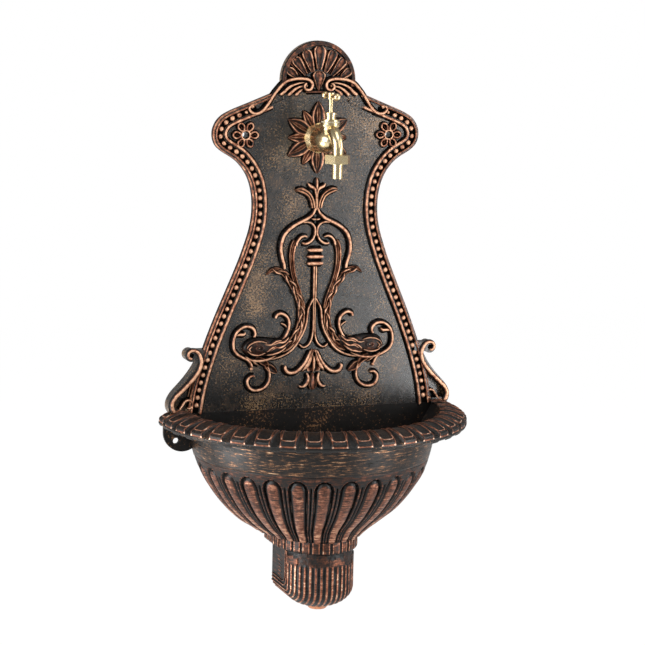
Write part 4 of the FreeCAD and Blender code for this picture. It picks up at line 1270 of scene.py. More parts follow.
class Dolphins:
    """Dolphin heads at the lower ends of the acanthus, with the scrolls around them.

    Attributes:
        STROKES: Points, widths, height and, where it isn't round, section.
        HEAD: Upper and lower edge of the head.
        EYE: Middle of the eye.
        PLUMES: Points and width of the brow, the jaw, the plumes and the snout.
    """

    STROKES = (
        # Fin scroll
        ([(50, -269.5), (42.5, -265), (37.2, -257), (34.4, -248), (35.4, -240), (39.2, -234.4), (45.6, -231.2),
          (51.6, -233), (53.4, -238)], (2.4, 3.2, 3.4, 3.4, 3.6, 3.8, 3.4), 4.6),
        ([(36.6, -250.5), (40.6, -246.4), (45, -244.4)], (1.4, 2.2, 1.2), 3.2),
        # Outer scroll
        ([(82.6, -261.5), (80.6, -256.4), (83, -250.4), (88, -247.4), (94.4, -246.9), (100.4, -249.3), (106, -254.4),
          (109.4, -262), (110.2, -270), (108.6, -277.6), (103.6, -283.6), (97, -287.4), (90, -291), (86, -296),
          (84.2, -301)], (3.0, 3.8, 3.6, 3.4, 3.6, 3.6, 3.4, 3.2), 4.8),
        ([(107.4, -258.6), (101.6, -257.4), (96.6, -257.4), (93.4, -254.6)], (1.4, 3.4, 4.0, 2.4), 4.0),
        # Lower scroll
        ([(62.6, -301), (60.4, -308), (60, -315), (62, -322), (66.6, -327.4), (73.4, -330.6), (81, -331), (87, -328),
          (90.2, -322), (89.4, -316), (85, -312.2), (80, -312.4)], (2.6, 3.2, 3.4, 3.6, 3.8, 3.8, 3.4, 2.8), 4.6),
        # Jaw, beard and leaf
        ([(52, -285.5), (62, -290), (74, -292), (85, -291), (93, -286.5)], (1.6, 3.4, 3.8, 3.2, 1.4), 6.4),
        ([(78, -289), (71, -292.5), (65.5, -297), (62.5, -303)], (3.0, 7.0, 5.6, 1.8), 5.4, Section.SPOON),
        ([(85, -291), (79, -296), (74, -299)], (2.4, 4.0, 1.0), 4.6, Section.RIDGE),
        ([(66, -298.5), (58, -303.6), (49, -310)], (4.0, 8.0, 6.4, 1.0), 4.8, Section.SPOON),
    )
    HEAD = ([(33, -259), (42, -264.5), (52, -265.4), (62, -263.8), (72, -262.6), (82, -262.6), (90, -265.4),
             (95.6, -270.6), (97, -275)],
            [(36, -276), (45, -283.4), (54, -286.4), (64, -286.6), (74, -287.2), (84, -286.4), (91, -284),
             (95.4, -280.4), (97, -276.5)])
    EYE = (76.4, -275.0)
    PLUMES = (([(66, -268.4), (74, -266.2), (83, -266.8), (90, -270.4), (93.4, -275)], 2.6),
              ([(68, -281.4), (77, -284), (86, -282.8), (92.4, -278.6)], 3.0),
              ([(36, -262), (43, -268), (50, -268.4), (58, -271.4)], 4.2),
              ([(46, -265.6), (54, -266.8), (61, -271), (69, -270.4)], 3.4),
              ([(37, -268), (46, -274.6), (54, -275), (61, -279)], 4.2),
              ([(53, -272.6), (60, -275.6), (66, -280.4)], 3.4),
              ([(40, -275), (49, -280.8), (58, -283.4), (66, -284.4)], 3.8),
              ([(86.4, -272), (90, -276), (87.4, -279.6)], 2.4))

    def build(self, finishes: Finishes) -> None:
        """Raise the heads and scrolls.

        Args:
            finishes: All materials.
        """
        made = Casting("dolphin_scrolls")
        made.strokes(self.STROKES)
        made.bead(84.4, -303, 2.8, rise=4.8)
        made.finish("fountain", "bronzed_casting", finishes.relief)
        self._head(finishes)

    def _head(self, finishes: Finishes) -> None:
        """Raise the rounded head with its eye, brow, jaw and plumes.

        Args:
            finishes: All materials.
        """
        head = Casting("dolphin_heads")
        head.web(Web(*self.HEAD, 10.0, Section.BULB, rub=0.5))
        head.stroke(Stroke(oval(*self.EYE, 5.0, 2.9, 12), (1.5,), 2.2, closed=True, ground=FIELD_Y - 8.8, skirt=1.8,
                           rub=0.5))
        head.bead(*self.EYE, 1.3, ground=FIELD_Y - 9.0, rise=1.2)
        for points, width in self.PLUMES:
            head.stroke(Stroke(points, (1.2, width, width, 1.4), 2.4, Section.RIDGE, ground=FIELD_Y - 8.0, skirt=0.9))
        head.finish("fountain", "bronzed_casting", finishes.relief)


@dataclass
class TapCasting:
    """Outside of the cast tap body: tail, round belly, neck and swan-necked spout.

    Attributes:
        axis_z: Height of the tail's axis.
        valve_y: Depth of the neck's axis.
        belly: Radius and distance from the wall of the tail and the belly.
        neck: Radius and height of the neck, closed on itself.
        spout: Depth and height of the spout's middle.
        radii: Radii of the spout, evenly spaced.
        steps: Sections along the spout, with its two ends.
        around: Faces around it.
    """

    axis_z: float = -4.0
    valve_y: float = -64.0
    belly: tuple[Spot, ...] = ((0, 2), (7, 2), (7, -14), (9.3, -14), (9.3, 1), (10.4, 1), (10.4, 27), (14.6, 28),
                               (15.9, 33), (16.4, 40), (16.6, 47), (16.2, 54), (15.2, 60), (13.2, 65.5), (10.2, 70),
                               (6.4, 73.4), (2.6, 75), (0, 75.2))
    neck: tuple[Spot, ...] = ((9.05, 4), (9.8, 4), (10.4, 10), (10.6, 13.2), (12.2, 14.6), (12.5, 16), (12.5, 19.4),
                              (9.05, 19.4), (9.05, 4))
    spout: tuple[Spot, ...] = ((-71.2, 8.6), (-78, 7.4), (-84.6, 3.4), (-89.6, -3), (-92.4, -10.5), (-93, -18),
                               (-93, -27.8))
    radii: tuple[float, ...] = (7.0, 7.6, 7.7, 7.5, 7.3, 7.3, 7.2, 7.0)
    steps: int = 48
    around: int = 32

    def build(self, finishes: Finishes) -> None:
        """Turn the belly and the neck and sweep the spout.

        Args:
            finishes: All materials.
        """
        made = Casting("tap_casting")
        made.turned(self.belly, Vector((0, 0, self.axis_z)), Vector((0, -1, 0)))
        made.turned(self.neck, Vector((0, self.valve_y, 0)), Vector((0, 0, 1)))
        line = Line(self.spout)

        def place(i: int, j: int) -> Corner:
            """Corner of the spout.

            Args:
                i: Number along the grid.
                j: Number across it.

            Returns:
                Its place and copper share.
            """
            share = min(max((i - 1) / (self.steps - 2), 0.0), 1.0)
            spot, way = line.at(line.length * share), line.way(line.length * share)
            radius = 0.0 if i in (0, self.steps) else blend_values(self.radii, share)
            turn = math.tau * j / self.around
            off = Vector((-way.y, way.x)) * (radius * math.sin(turn))
            return Vector((radius * math.cos(turn), spot.x + off.x, spot.y + off.y)), 0.0
        made.sheet(self.steps, self.around, place)
        shape = made.finish("fountain", "tap_brass", finishes.brass, sharp=50)
        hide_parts("tap_body")


class BellFlower:
    """Bell flower and tassel at the foot of the ornament.

    Attributes:
        STROKES: Points, widths and height.
    """

    STROKES = (
        ([(4.4, -281.5), (7.4, -288.4), (11, -296), (17, -303.4), (24, -308.6), (30.6, -310.2), (36.6, -308),
          (39, -303.4), (38.2, -300)], (2.4, 3.8, 4.2, 4.4, 4.6, 4.8, 3.6), 5.0),
        ([(3, -285), (5.4, -294), (9.5, -301.4), (16, -309)], (2.0, 5.0, 6.0, 0.8), 5.4),
        ([(8.6, -311), (6.6, -317), (7.6, -323), (11, -327.6), (15.6, -329.4), (18.4, -328)],
         (2.2, 3.8, 4.4, 3.8, 1.4), 4.4),
    )

    def build(self, finishes: Finishes) -> None:
        """Raise the flower.

        Args:
            finishes: All materials.
        """
        made = Casting("bell_flower")
        made.web(Web([(-3.8, -280), (-5.2, -288), (-7.6, -296), (-11.4, -303.4), (-9, -309)],
                     [(3.8, -280), (5.2, -288), (7.6, -296), (11.4, -303.4), (9, -309)], 6.5), False)
        made.stroke(Stroke([(0, -288), (0, -300), (0, -310.5)], (2.0, 6.4, 5.4, 0.8), 6.4, Section.RIDGE), False)
        made.stroke(Stroke([(2.4, -283), (4.4, -292), (7.2, -300.5)], (1.2, 2.2, 1.2), 4.6, Section.RIDGE,
                           ground=FIELD_Y - 2.0, skirt=0.4))
        made.strokes(self.STROKES)
        made.stroke(Stroke([(0, -311), (0, -322), (0, -334)], (3.0, 4.6, 7.4, 8.6, 4.0), 5.2, Section.DROP), False)
        made.finish("fountain", "bronzed_casting", finishes.relief)


class SideBrackets:
    """Scroll brackets beside the foot of the plate.

    Attributes:
        STROKES: Points, widths, height and depth of the ground.
    """

    STROKES = (
        ([(164.6, -286.6), (168.6, -285.4), (170.6, -281.4), (168.4, -277), (163.4, -275.6), (158, -278),
          (154.2, -284), (152.6, -291), (154.4, -300), (159.6, -308.4), (167, -317), (176.6, -326.4), (186, -335.4),
          (190.8, -343.4), (190.4, -351), (187, -356)],
         (3.4, 4.0, 4.4, 4.6, 5.0, 5.0, 5.0, 5.0, 5.0, 4.8), 3.6, -17.2),
        ([(162.6, -318), (165.4, -328), (167.6, -338)], (1.6, 1.8, 1.4), 3.0, -8.0),
        ([(187, -356), (180.5, -353), (176, -347), (171.6, -341.6), (165.6, -341.4), (162.8, -346), (165, -351),
          (169.4, -352)], (2.4, 3.0, 3.2, 3.4, 3.4, 3.0), 7.4, -8.0),
    )

    def build(self, finishes: Finishes) -> None:
        """Raise the bands of the brackets.

        Args:
            finishes: All materials.
        """
        made = Casting("bracket_scrolls")
        for points, widths, height, ground in self.STROKES:
            made.stroke(Stroke(points, widths, height, ground=ground, skirt=0.2))
        made.finish("fountain", "bronzed_casting", finishes.relief)


# Basin


@dataclass
class BasinRim:
    """Tongues over the rolled rim of the basin.

    Attributes:
        plan: Line that the profile stands on.
        nose: Line of the rim's outermost edge, along which the tongues are spaced.
        reach: Furthest distance from the plan.
        tongues: Tongues around the rim.
        pitch: Spacing of the tongues.
        profile: Distance from the plan and height, from the inner lip to the underside.
        across: Steps over the profile.
        per_tongue: Steps along a tongue.
        dip: How much lower a tongue hangs than a groove.
    """

    plan: HalfRound = HalfRound(181.0, 22.0, 195.0)
    nose: HalfRound = HalfRound(203.0, 22.0, 217.0)
    reach: float = 22.0
    tongues: int = 21
    pitch: float = 32.3
    profile: tuple[Spot, ...] = ((-13.0, -358.4), (-8, -358.0), (-3, -357.9), (4, -359.3), (10.6, -361.9),
                                 (16.4, -365.0), (20.4, -368.0), (21.7, -371.2), (20.2, -374.2), (17.0, -375.8))
    across: int = 50
    per_tongue: int = 36
    dip: float = 1.9

    def build(self, finishes: Finishes) -> None:
        """Lay the tongues over the rim.

        Args:
            finishes: All materials.
        """
        plan, nose = self.plan.line(), self.nose.line()
        across = Line(self.profile)
        count = self.tongues * self.per_tongue
        made = Casting("rim_tongues")

        def place(i: int, j: int) -> Corner:
            """Corner of the tongued surface.

            Args:
                i: Number along the grid.
                j: Number across it.

            Returns:
                Its place and copper share.
            """
            phase = (nose.length * (i / count - 0.5) / self.pitch) % 1.0
            phase = abs(phase - 1.0 if phase > 0.5 else phase)
            t = j / self.across
            spot, slope = across.at(across.length * t), across.way(across.length * t)
            rise, rub, low = self._relief(phase, t)
            out = min(spot.x - slope.y * rise, self.reach)
            up = spot.y + slope.x * rise + self.dip * (0.5 - low) * smooth_step(t, 0.5, 0.8)
            base, way = plan.at(plan.length * i / count), plan.way(plan.length * i / count)
            flat = Vector((-way.y, way.x)) if (base.x * -way.y + base.y * way.x) > 0 else Vector((way.y, -way.x))
            base += flat * out
            return Vector((base.x, min(base.y, WALL_GAP), up)), rub
        made.sheet(count, self.across, place)
        made.finish("fountain", "bronzed_basin", finishes.rim, sharp=60, wall=1.0)

    def _relief(self, phase: float, t: float) -> tuple[float, float, float]:
        """Rise, copper share and groove share of a place on a tongue.

        Args:
            phase: Distance from the middle of the tongue, in pitches.
            t: Share of the way from the inner lip to the underside.

        Returns:
            The rise in millimetres, the copper share with its painted highlights and how far the place is in a groove.
        """
        off = phase * self.pitch
        groove = 0.5 * self.pitch - (1.0 + 4.4 * smooth_step(t, 0.1, 0.8))
        low = smooth_step(off, groove - 1.2, groove + 0.6)
        fade = 1 - smooth_step(t, 0.74, 0.9)
        # The bright outline follows the sides of the tongue and rounds its end below.
        half = 10.2 - 2.6 * t
        drop = (t - 0.58) * 44.0
        edge = math.hypot(max(off - half + 4.0, 0.0), max(drop, 0.0)) - 4.0 if drop > 0 else off - half
        ring = math.exp(-(edge / 0.95) ** 2)
        border = math.exp(-((off - groove + 1.6) / 1.2) ** 2)
        rise = (0.5 + 1.9 * (1 - low)) * (0.3 + 0.7 * fade) + (1.3 * ring + 0.7 * border) * (1 - low) * fade
        # The rounded end of the outline is drawn brighter as a painted highlight.
        foot = smooth_step(drop, 1.0, 4.5)
        rub = (0.74 + 0.3 * foot) * ring + 0.68 * border + 0.02 * (1 - low) * smooth_step(edge, 0.5, 2.0)
        #         The lower lip of the rim is rubbed all around and drawn pale along its edge as a painted highlight.
        lip = math.exp(-((t - 0.83) / 0.026) ** 2)
        return rise, (rub * (1 - 0.85 * low) * fade + 0.78 * lip), low


@dataclass
class PlainBand:
    """Brushed band of the bowl between the rim and the gadroons.

    Attributes:
        high_z: Height of its upper edge.
        low_z: Height of its lower edge.
        rows: Steps from edge to edge.
        steps: Steps around the bowl.
    """

    high_z: float = -379.0
    low_z: float = -415.0
    rows: int = 16
    steps: int = 220

    def build(self, finishes: Finishes) -> None:
        """Lay the band around the bowl.

        Args:
            finishes: All materials.
        """
        made = Casting("bowl_band")
        heights = [self.high_z + (self.low_z - self.high_z) * j / self.rows for j in range(self.rows + 1)]
        lines = [Bowl.plan(z).line() for z in heights]

        def place(i: int, j: int) -> Corner:
            """Corner of the band.

            Args:
                i: Number along the grid.
                j: Number across it.

            Returns:
                Its place and copper share.
            """
            mark = lines[j].length * i / self.steps
            return Bowl.surface(mark, heights[j], Bowl.GAP + Bowl.rise(heights[j]), lines[j]), 0.0
        made.sheet(self.steps, self.rows, place)
        made.finish("fountain", "bronzed_basin", finishes.band, sharp=60, wall=0.8)


@dataclass
class Gadroons:
    """Raised pods around the lower half of the bowl, with the fillets between them.

    Attributes:
        pods: Number of pods.
        pitch_share: Spacing of the pods as a share of the line around the bowl.
        half_share: Half width of a pod as a share of their spacing.
        cap_radius: Radius of a pod's round top.
        top_z: Height of the pods' tops.
        foot_z: Height of the lower edge.
        start_z: Height of the upper edge.
        per_pod: Steps along a pod.
        rows: Steps from edge to edge.
    """

    pods: int = 15
    pitch_share: float = 32.6 / 494.0
    half_share: float = 0.31
    cap_radius: float = 9.4
    top_z: float = -423.5
    foot_z: float = -517.6
    start_z: float = -414.6
    per_pod: int = 34
    rows: int = 72

    def build(self, finishes: Finishes) -> None:
        """Lay the pods around the bowl.

        Args:
            finishes: All materials.
        """
        count = self.pods * self.per_pod
        heights = [self.start_z + (self.foot_z - self.start_z) * j / self.rows for j in range(self.rows + 1)]
        lines = [Bowl.plan(z).line() for z in heights]
        made = Casting("bowl_gadroons")
        span = self.pods * self.pitch_share

        def place(i: int, j: int) -> Corner:
            """Corner of the gadrooned surface.

            Args:
                i: Number along the grid.
                j: Number across it.

            Returns:
                Its place and copper share.
            """
            line = lines[j]
            phase = abs((self.pods * i / count) % 1.0 - 0.5)
            rise, rub = self._relief(phase, line.length * self.pitch_share, heights[j])
            return Bowl.surface(line.length * (0.5 + span * (i / count - 0.5)), heights[j], rise, line), rub
        made.sheet(count, self.rows, place)
        made.finish("fountain", "bronzed_basin", finishes.gadroons, sharp=70, wall=0.8)

    def _relief(self, phase: float, pitch: float, z: float) -> tuple[float, float]:
        """Rise and copper share of a place on the bowl.

        Args:
            phase: Distance from the middle of a pod, in pitches.
            pitch: Spacing of the pods at this height.
            z: Height.

        Returns:
            The rise in millimetres and the copper share.
        """
        full = Bowl.GAP + Bowl.rise(z)
        half = self.half_share * pitch
        off = phase * pitch
        cap = z - (self.top_z - self.cap_radius)
        gap = math.hypot(off, cap) - self.cap_radius if cap > 0 else off - half
        scale = pitch / 32
        if gap < 0:
            depth = min(1.0, -gap / half)
            rise = 0.4 + (full + 0.5) * math.sqrt(1 - (1 - depth) ** 2)
            return rise, 0.1 + (0.54 + 0.16 * (1 - smooth_step(z, -500.0, -460.0))) * smooth_step(depth, 0.12, 0.4)
        # Beside the pod lie a ditch, a fillet and, below the tops, the split between two fillets.
        low = smooth_step(gap, 0.2 * scale, 1.2 * scale) * (1 - smooth_step(gap, 1.6 * scale, 2.6 * scale))
        ditch = 1 - smooth_step(gap, 1.2 * scale, 2.2 * scale)
        first = math.exp(-((gap - 2.9 * scale) / (0.8 * scale)) ** 2)
        middle = (1 - smooth_step(abs(off - 0.5 * pitch), 0.5 * scale, 1.2 * scale)) if z < self.top_z - 6 else 0.0
        level = smooth_step(gap, 1.4 * scale, 2.8 * scale) * (1 - 0.6 * middle)
        rise = Bowl.GAP + (full - Bowl.GAP) * level + 0.25 * first
        plain = smooth_step(z, self.top_z - 5.0, self.top_z + 3.0) * smooth_step(gap, 3.6, 5.4)
        rub = max(0.72 * first, 0.44 * plain, 0.34 * level) * (1 - middle) - 0.2 * max(low, ditch)
        return rise, rub


@dataclass
class DrainCover:
    """Collar of small bars and the ribbed cup under the bowl.

    Attributes:
        collar: Plan of the collar.
        collar_step: Spacing of the steps around it.
        bar_pitch: Spacing of its bars.
        radius: Half width of the cup.
        axis_y: Depth of its middle.
        turn_z: Height at which it turns inwards.
        drop: Height of its rounded bottom.
        top_z: Height of its upper edge.
        low_z: Nothing of it hangs lower.
        back_y: Depth of its end at the wall.
        ribs: Number of ribs.
        per_rib: Steps along a rib's width.
        rib_steps: Steps along a rib.
        half_turn: Angle from the front to its last rib, in degrees.
        tabs: Ribs that end in a tab, from the left.
        ROWS: Height of each row of the collar and its share of the bars' rise.
        INSIDE: Point of the plan inside the collar.
        ZONE: Heights between which the ribs give way to the upper zone.
        LINES: Heights of the brushed lines of the upper zone.
        FILLETS: Depth of the upright part, height of the level part and width of the side fillets.
        FILLET_STEPS: Sections along a side fillet.
        FILLET_RISE: How far a side fillet stands out.
        FILLET_SINK: How deep it reaches into the cup.
    """

    ROWS = ((-518.2, -0.2), (-518.8, 0.7), (-520.4, 1.0), (-524, 1.0), (-529, 1.0), (-532.4, 1.0), (-534.0, 0.7),
            (-534.7, -0.2))
    INSIDE = Vector((0, -30))
    ZONE = (-554, -551.5)
    LINES = (-553, -548, -543.5)
    FILLETS = ((-60.0, -586.0, 2.6), (-55.6, -581.4, 1.4))
    FILLET_STEPS = 60
    FILLET_RISE = 1.6
    FILLET_SINK = 0.3

    collar: HalfRound = HalfRound(54.1, 34.0, 103.1)
    collar_step: float = 0.7
    bar_pitch: float = 12.9
    radius: float = 44.6
    axis_y: float = -56.0
    turn_z: float = -585.5
    drop: float = 27.1
    top_z: float = -534.6
    low_z: float = -614.0
    back_y: float = -0.6
    ribs: int = 18
    per_rib: int = 12
    rib_steps: int = 72
    half_turn: float = 83.0
    tabs: tuple[int, ...] = (0, 1, 2, 9, 10, 11, 15, 16, 17)

    def build(self, finishes: Finishes) -> None:
        """Make the collar and the ribs.

        Args:
            finishes: All materials.
        """
        self._collar(finishes)
        self._ribs(finishes)
        self._sides(finishes)

    def _collar(self, finishes: Finishes) -> None:
        """Lay the bars around the collar.

        Args:
            finishes: All materials.
        """
        line = self.collar.line()
        made = Casting("collar_bars")
        count = round(line.length / self.collar_step)

        def place(i: int, j: int) -> Corner:
            """Corner of the barred surface.

            Args:
                i: Number along the grid.
                j: Number across it.

            Returns:
                Its place and copper share.
            """
            mark = line.length * i / count
            phase = ((mark - line.length / 2) / self.bar_pitch) % 1.0
            off = abs(phase - 0.5) * self.bar_pitch
            bar = 1 - smooth_step(off, 4.4, 5.2)
            z, share = self.ROWS[j]
            rise = 0.2 + share * (0.4 + 1.9 * bar) if share > 0 else share
            spot, way = line.at(mark), line.way(mark)
            normal = Vector((way.y, -way.x))
            if normal.dot(spot - self.INSIDE) < 0:
                normal = -normal
            spot += normal * rise
            edge = math.exp(-((off - 4.0) / 0.7) ** 2)
            return Vector((spot.x, min(spot.y, WALL_GAP), z)), bar * ((0.56 if share > 0.9 else 0.36) + 0.34 * edge)
        made.sheet(count, len(self.ROWS) - 1, place)
        made.finish("fountain", "bronzed_basin", finishes.cover, sharp=50, wall=0.8)

    def _path(self, x: float) -> list[tuple[float, float, Vector]]:
        """Way of a rib down the front and under to the wall.

        Args:
            x: Distance of the rib from the middle plane.

        Returns:
            Depth, height and outward direction of each step.
        """
        inside = math.sqrt(max(0.0, 1 - (x / self.radius) ** 2))
        reach, low = self.radius * inside, self.drop * inside
        spots = []
        for i in range(self.rib_steps + 1):
            t = 3.0 * i / self.rib_steps
            if t <= 1:
                y, z = self.axis_y - reach, self.top_z + (self.turn_z - self.top_z) * t
                out = Vector((x, -reach, 0))
            elif t <= 2:
                turn = (t - 1) * math.pi / 2
                y, z = self.axis_y - reach * math.cos(turn), self.turn_z - low * math.sin(turn)
                out = Vector((x / self.radius, (y - self.axis_y) / self.radius,
                              (z - self.turn_z) * self.radius / self.drop ** 2))
            else:
                y, z = self.axis_y + (self.back_y - self.axis_y) * (t - 2), self.turn_z - low
                out = Vector((x / self.radius, 0, (z - self.turn_z) * self.radius / self.drop ** 2))
            spots.append((y, z, out.normalized()))
        return spots

    def _ribs(self, finishes: Finishes) -> None:
        """Lay the ribs in upright planes over the cup.

        Args:
            finishes: All materials.
        """
        made = Casting("cover_ribs")
        count = self.ribs * self.per_rib
        pitch = 2 * self.radius * math.radians(self.half_turn) / self.ribs
        across = [self.radius * math.sin(math.radians(self.half_turn * (2 * i / count - 1)))
                  for i in range(count + 1)]
        paths = [self._path(x) for x in across]

        def place(i: int, j: int) -> Corner:
            """Corner of the ribbed surface.

            Args:
                i: Number along the grid.
                j: Number across it.

            Returns:
                Its place and copper share.
            """
            y, z, out = paths[i][j]
            off = abs((i / self.per_rib) % 1.0 - 0.5) * pitch
            rise, rub = self._relief(min(i // self.per_rib, self.ribs - 1), off, pitch * i / self.per_rib, z)
            spot = Vector((across[i], y, z)) + out * rise
            return Vector((spot.x, min(spot.y, WALL_GAP), max(spot.z, self.low_z))), rub
        made.sheet(count, self.rib_steps, place)
        made.finish("fountain", "bronzed_basin", finishes.cover, sharp=60, wall=0.6)

    def _relief(self, rib: int, off: float, around: float, z: float) -> tuple[float, float]:
        """Rise and copper share of a place on the cup.

        Args:
            rib: Number of the rib from the left.
            off: Distance from the rib's middle.
            around: Distance from the left end.
            z: Height.

        Returns:
            The rise in millimetres and the copper share.
        """
        above = smooth_step(z, *self.ZONE)
        raised = 1 - smooth_step(off, 1.0, 2.0)
        if rib in self.tabs:
            # The top of a tab is an arch over three ribs.
            arch = -540.5 - 0.45 * ((rib % 3 - 1) * 3.6) ** 2 * 0.3
            tab = above * (1 - smooth_step(z, arch, arch + 1.5))
            return 0.2 + 1.7 * max(raised * (1 - above), tab), max(0.86 * raised * (1 - above), 0.6 * tab)
        line = sum(math.exp(-((z - low - 0.2 * ((around + 10.0) % 45.0)) / 0.8) ** 2) for low in self.LINES)
        return (0.2 + 1.7 * raised * (1 - above) + 0.9 * line * above,
                max(0.8 * raised * (1 - above), 0.56 * min(line, 1.0) * above, 0.46 * above))

    def _sides(self, finishes: Finishes) -> None:
        """Raise the fillets that frame each plain side and the ridges between them.

        Args:
            finishes: All materials.
        """
        made = Casting("cover_side_fillets")
        for side in (-1, 1):
            for y0, z0, width in self.FILLETS:
                line = Line([(y0, -536.0), (y0, -556.0), (y0, z0 + 12), (y0 + 3, z0 + 3.5), (y0 + 11, z0), (-30, z0),
                             (-14, z0), (-1.5, z0)])
                self._fillet(made, side, line, width)
            for i in range(5):
                z = -557.0 - 4.8 * i
                made.stroke_side(side, (-44.0, -14.0 - 3.0 * (i % 2)), z, self._wall_x(-30.0, z))
        made.finish("fountain", "bronzed_basin", finishes.cover, sharp=60)

    def _fillet(self, made: Casting, side: int, line: Line, width: float) -> None:
        """Raise a half round fillet on a side of the cup.

        Args:
            made: The piece that it belongs to.
            side: 1 for the right side, -1 for the left.
            line: Its way in depth and height.
            width: Its width.
        """
        def place(i: int, j: int) -> Corner:
            """Corner of the fillet.

            Args:
                i: Number along the grid.
                j: Number across it.

            Returns:
                Its place and copper share.
            """
            mark = line.length * i / self.FILLET_STEPS
            spot, way = line.at(mark), line.way(mark)
            across = Vector((way.y, -way.x))
            turn = math.pi * j / 6 if j < 7 else 0.0
            full = 0 < i < self.FILLET_STEPS
            off = across * (width / 2 * math.cos(turn) if full else 0.0)
            y, z = spot.x + off.x, spot.y + off.y
            x = self._wall_x(y, z) + (self.FILLET_RISE * math.sin(turn) if full and 0 < j < 7 else -self.FILLET_SINK)
            return Vector((side * x, y, z)), 0.85 * math.sin(turn)
        made.sheet(self.FILLET_STEPS, 7, place)

    def _wall_x(self, y: float, z: float) -> float:
        """Half width of the cup at a place.

        Args:
            y: Depth.
            z: Height.

        Returns:
            The half width.
        """
        ahead = max(0.0, self.axis_y - y) / self.radius
        below = max(0.0, self.turn_z - z) / self.drop
        return self.radius * math.sqrt(max(0.0, 1 - ahead ** 2 - below ** 2))


# Frame dressing, studio and camera


class Dressing:
    """Finishes of the CAD nodes that stay in view.

    Attributes:
        SLOTS: Finish of each material slot.
        NODES: Finish of the nodes that differ from their slot.
    """

    SLOTS = {"bronzed_casting": "plate", "bronzed_basin": "basin", "tap_brass": "brass", "waste_metal": "chrome",
             "fixing_steel": "steel", "seal_rubber": "rubber", "packing_fibre": "fibre"}
    NODES = {"drain_cover": "cover_plain", "finial_nut": "button"}

    def apply(self, finishes: Finishes) -> None:
        """Give each CAD node the finish of its slot.

        Args:
            finishes: All materials.
        """
        for part in FRAME["record"]["subparts"]:
            node = FRAME["nodes"][part["node"]]
            finish = self.NODES.get(part["node"], self.SLOTS[part["material_slot"]])
            node.data.materials.clear()
            node.data.materials.append(getattr(finishes, finish))


@dataclass(frozen=True)
class Softbox:
    """A soft lamp.

    Attributes:
        name: Its name.
        spot: Its place in metres.
        width: Its width in metres.
        power: Its power in watts.
        height: Its height in metres, or 0 for a square lamp.
    """

    name: str
    spot: Spot
    width: float
    power: float
    height: float = 0.0

    def hang(self, aim: Spot) -> None:
        """Hang the lamp.

        Args:
            aim: What it looks at, in metres.
        """
        lamp = bpy.data.lights.new(self.name, "AREA")
        lamp.shape = "RECTANGLE"
        lamp.size = self.width
        lamp.size_y = self.height or self.width
        lamp.energy = self.power
        made = bpy.data.objects.new(self.name, lamp)
        away = Vector(self.spot) - Vector(aim)
        made.matrix_world = Matrix.Translation(Vector(self.spot)) @ away.to_track_quat("Z", "Y").to_matrix().to_4x4()
        bpy.context.scene.collection.objects.link(made)


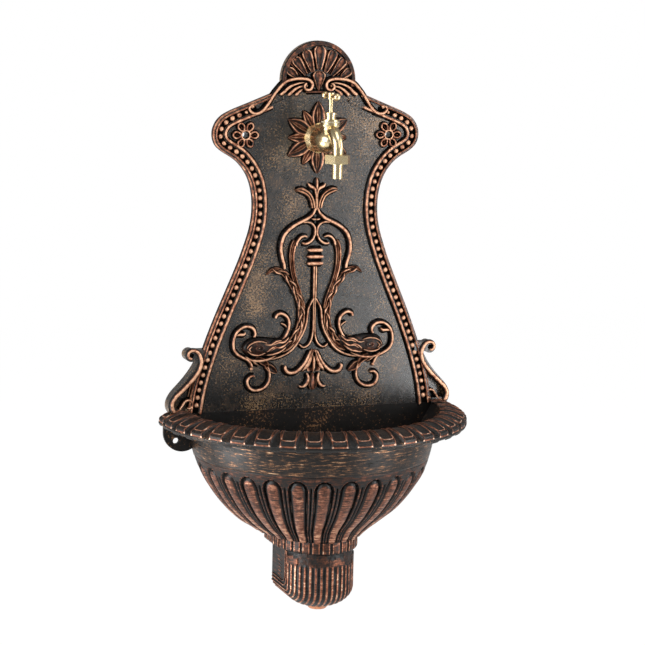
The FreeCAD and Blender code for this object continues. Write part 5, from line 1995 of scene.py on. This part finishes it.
@dataclass
class Studio:
    """White studio: pale floor, soft lamps and the camera.

    Attributes:
        azimuth: Direction of the camera around the fountain, in degrees.
        elevation: Its height over level, in degrees.
        roll: Its turn about its own axis, in degrees.
        target: Point that it looks at, in metres.
        distance: Distance from that point in metres.
        focal: Focal length in pixels.
        aim: What the lamps look at, in metres.
        daylight: Strength of the white all around as light.
        shine: What reflections add to that strength.
        floor_z: Height of the floor in metres.
        floor_half: Half of its width in metres.
        floor_white: Strength of the floor's glow.
        floor_share: Share of the glow where the camera sees the floor.
        floor_shine: Share of that where a reflection sees it.
        PICTURE: Width of the photograph in pixels.
        SENSOR: Width of the sensor in millimetres.
        LAMPS: The lamps.
    """

    PICTURE = 645
    SENSOR = 36.0
    LAMPS = (
        Softbox("left_softbox", (-2.5, -0.9, 0.5), 1.7, 82.0),
        Softbox("right_softbox", (2.6, -0.8, 0.7), 1.4, 24.0),
        Softbox("front_softbox", (0.9, -2.4, 1.3), 1.2, 10.0),
        Softbox("sheen_softbox", (0.74, -0.82, -0.36), 0.34, 9.0, 1.0),
        Softbox("low_left_softbox", (-1.6, 0.1, -0.85), 0.7, 17.0),
        Softbox("top_softbox", (0.2, -0.9, 1.9), 1.3, 16.0),
    )

    azimuth: float = -20.0
    elevation: float = 8.945
    roll: float = 1.317
    target: Vector = field(default_factory=lambda: Vector((18.78, 0.0, -248.1)) * MM)
    distance: float = 2.8947
    focal: float = 2200.0
    aim: Spot = (0, -0.05, -0.25)
    daylight: float = 0.26
    shine: float = 0.05
    floor_z: float = -1.25
    floor_half: float = 6.0
    floor_white: float = 1.08
    floor_share: float = 0.9
    floor_shine: float = 0.4

    def build(self) -> None:
        """Place everything."""
        self._camera()
        self._world()
        self._floor()
        for lamp in self.LAMPS:
            lamp.hang(self.aim)

    def _camera(self) -> None:
        """Set the camera at the photograph's angle."""
        a, e, roll = (math.radians(v) for v in (self.azimuth, self.elevation, self.roll))
        back = Vector((math.sin(a) * math.cos(e), -math.cos(a) * math.cos(e), math.sin(e)))
        right = Vector((math.cos(a), math.sin(a), 0.0))
        up = back.cross(right)
        turned_right = right * math.cos(roll) + up * math.sin(roll)
        turned_up = up * math.cos(roll) - right * math.sin(roll)
        lens = bpy.data.cameras.new("camera")
        lens.sensor_width = self.SENSOR
        lens.lens = self.SENSOR * self.focal / self.PICTURE
        lens.clip_end = 50.0
        made = bpy.data.objects.new("camera", lens)
        turn = Matrix((turned_right, turned_up, back)).transposed()
        made.matrix_world = Matrix.Translation(self.target + back * self.distance) @ turn.to_4x4()
        bpy.context.scene.collection.objects.link(made)
        bpy.context.scene.camera = made
        bpy.context.scene.view_settings.view_transform = "Standard"

    def _world(self) -> None:
        """White where the camera or a reflection looks, softer as light."""
        world = bpy.data.worlds.new("studio")
        bpy.context.scene.world = world
        world.use_nodes = True
        tree = world.node_tree
        tree.nodes.clear()
        path = add_node(tree, "ShaderNodeLightPath")
        soft = add_node(tree, "ShaderNodeMath", {"operation": "MULTIPLY_ADD"},
                        {0: path.outputs["Is Glossy Ray"], 1: self.shine, 2: self.daylight}).outputs[0]
        strength = add_node(tree, "ShaderNodeMath", {"operation": "MAXIMUM"},
                            {0: path.outputs["Is Camera Ray"], 1: soft}).outputs[0]
        light = add_node(tree, "ShaderNodeBackground", inputs={"Color": (1, 1, 1, 1), "Strength": strength}).outputs[0]
        add_node(tree, "ShaderNodeOutputWorld", inputs={"Surface": light})

    def _floor(self) -> None:
        """Lay a pale floor well below the fountain."""
        shape = bmesh.new()
        bmesh.ops.create_grid(shape, x_segments=4, y_segments=4, size=self.floor_half,
                              matrix=Matrix.Translation((0, 0, self.floor_z)))
        mesh = bpy.data.meshes.new("floor")
        shape.to_mesh(mesh)
        shape.free()
        made = bpy.data.objects.new("floor", mesh)
        bpy.context.scene.collection.objects.link(made)
        # Floor paint: matt white that glows where the camera sees it, so that it melts into the background.
        finish, tree = start_material("matt_white_floor_paint")
        path = add_node(tree, "ShaderNodeLightPath")
        mirrored = add_node(tree, "ShaderNodeMath", {"operation": "MULTIPLY"},
                            {0: path.outputs["Is Glossy Ray"], 1: self.floor_shine}).outputs[0]
        seen = add_node(tree, "ShaderNodeMath", {"operation": "MAXIMUM"},
                        {0: path.outputs["Is Camera Ray"], 1: mirrored}).outputs[0]
        matt = add_node(tree, "ShaderNodeBsdfDiffuse", inputs={"Color": linear("#f4f4f2")}).outputs[0]
        white = add_node(tree, "ShaderNodeEmission", inputs={"Color": (1, 1, 1, 1),
                                                               "Strength": self.floor_white}).outputs[0]
        share = add_node(tree, "ShaderNodeMath", {"operation": "MULTIPLY"},
                         {0: seen, 1: self.floor_share}).outputs[0]
        mixed = add_node(tree, "ShaderNodeMixShader", inputs={0: share, 1: matt, 2: white}).outputs[0]
        add_node(tree, "ShaderNodeOutputMaterial", inputs={"Surface": mixed})
        mesh.materials.append(finish)


def main() -> None:
    """Build the fountain, dress the frame and light it."""
    logging.basicConfig(level=logging.INFO, format="%(name)s: %(message)s")
    finishes = Finishes()
    Dressing().apply(finishes)
    for part in (Border(), Shell(), Flowers(), TapCasting(), CentreWork(), Dolphins(), BellFlower(),
                 SideBrackets(), BasinRim(), PlainBand(), Gadroons(), DrainCover()):
        part.build(finishes)
    Studio().build()


if __name__ == "__main__":
    main()
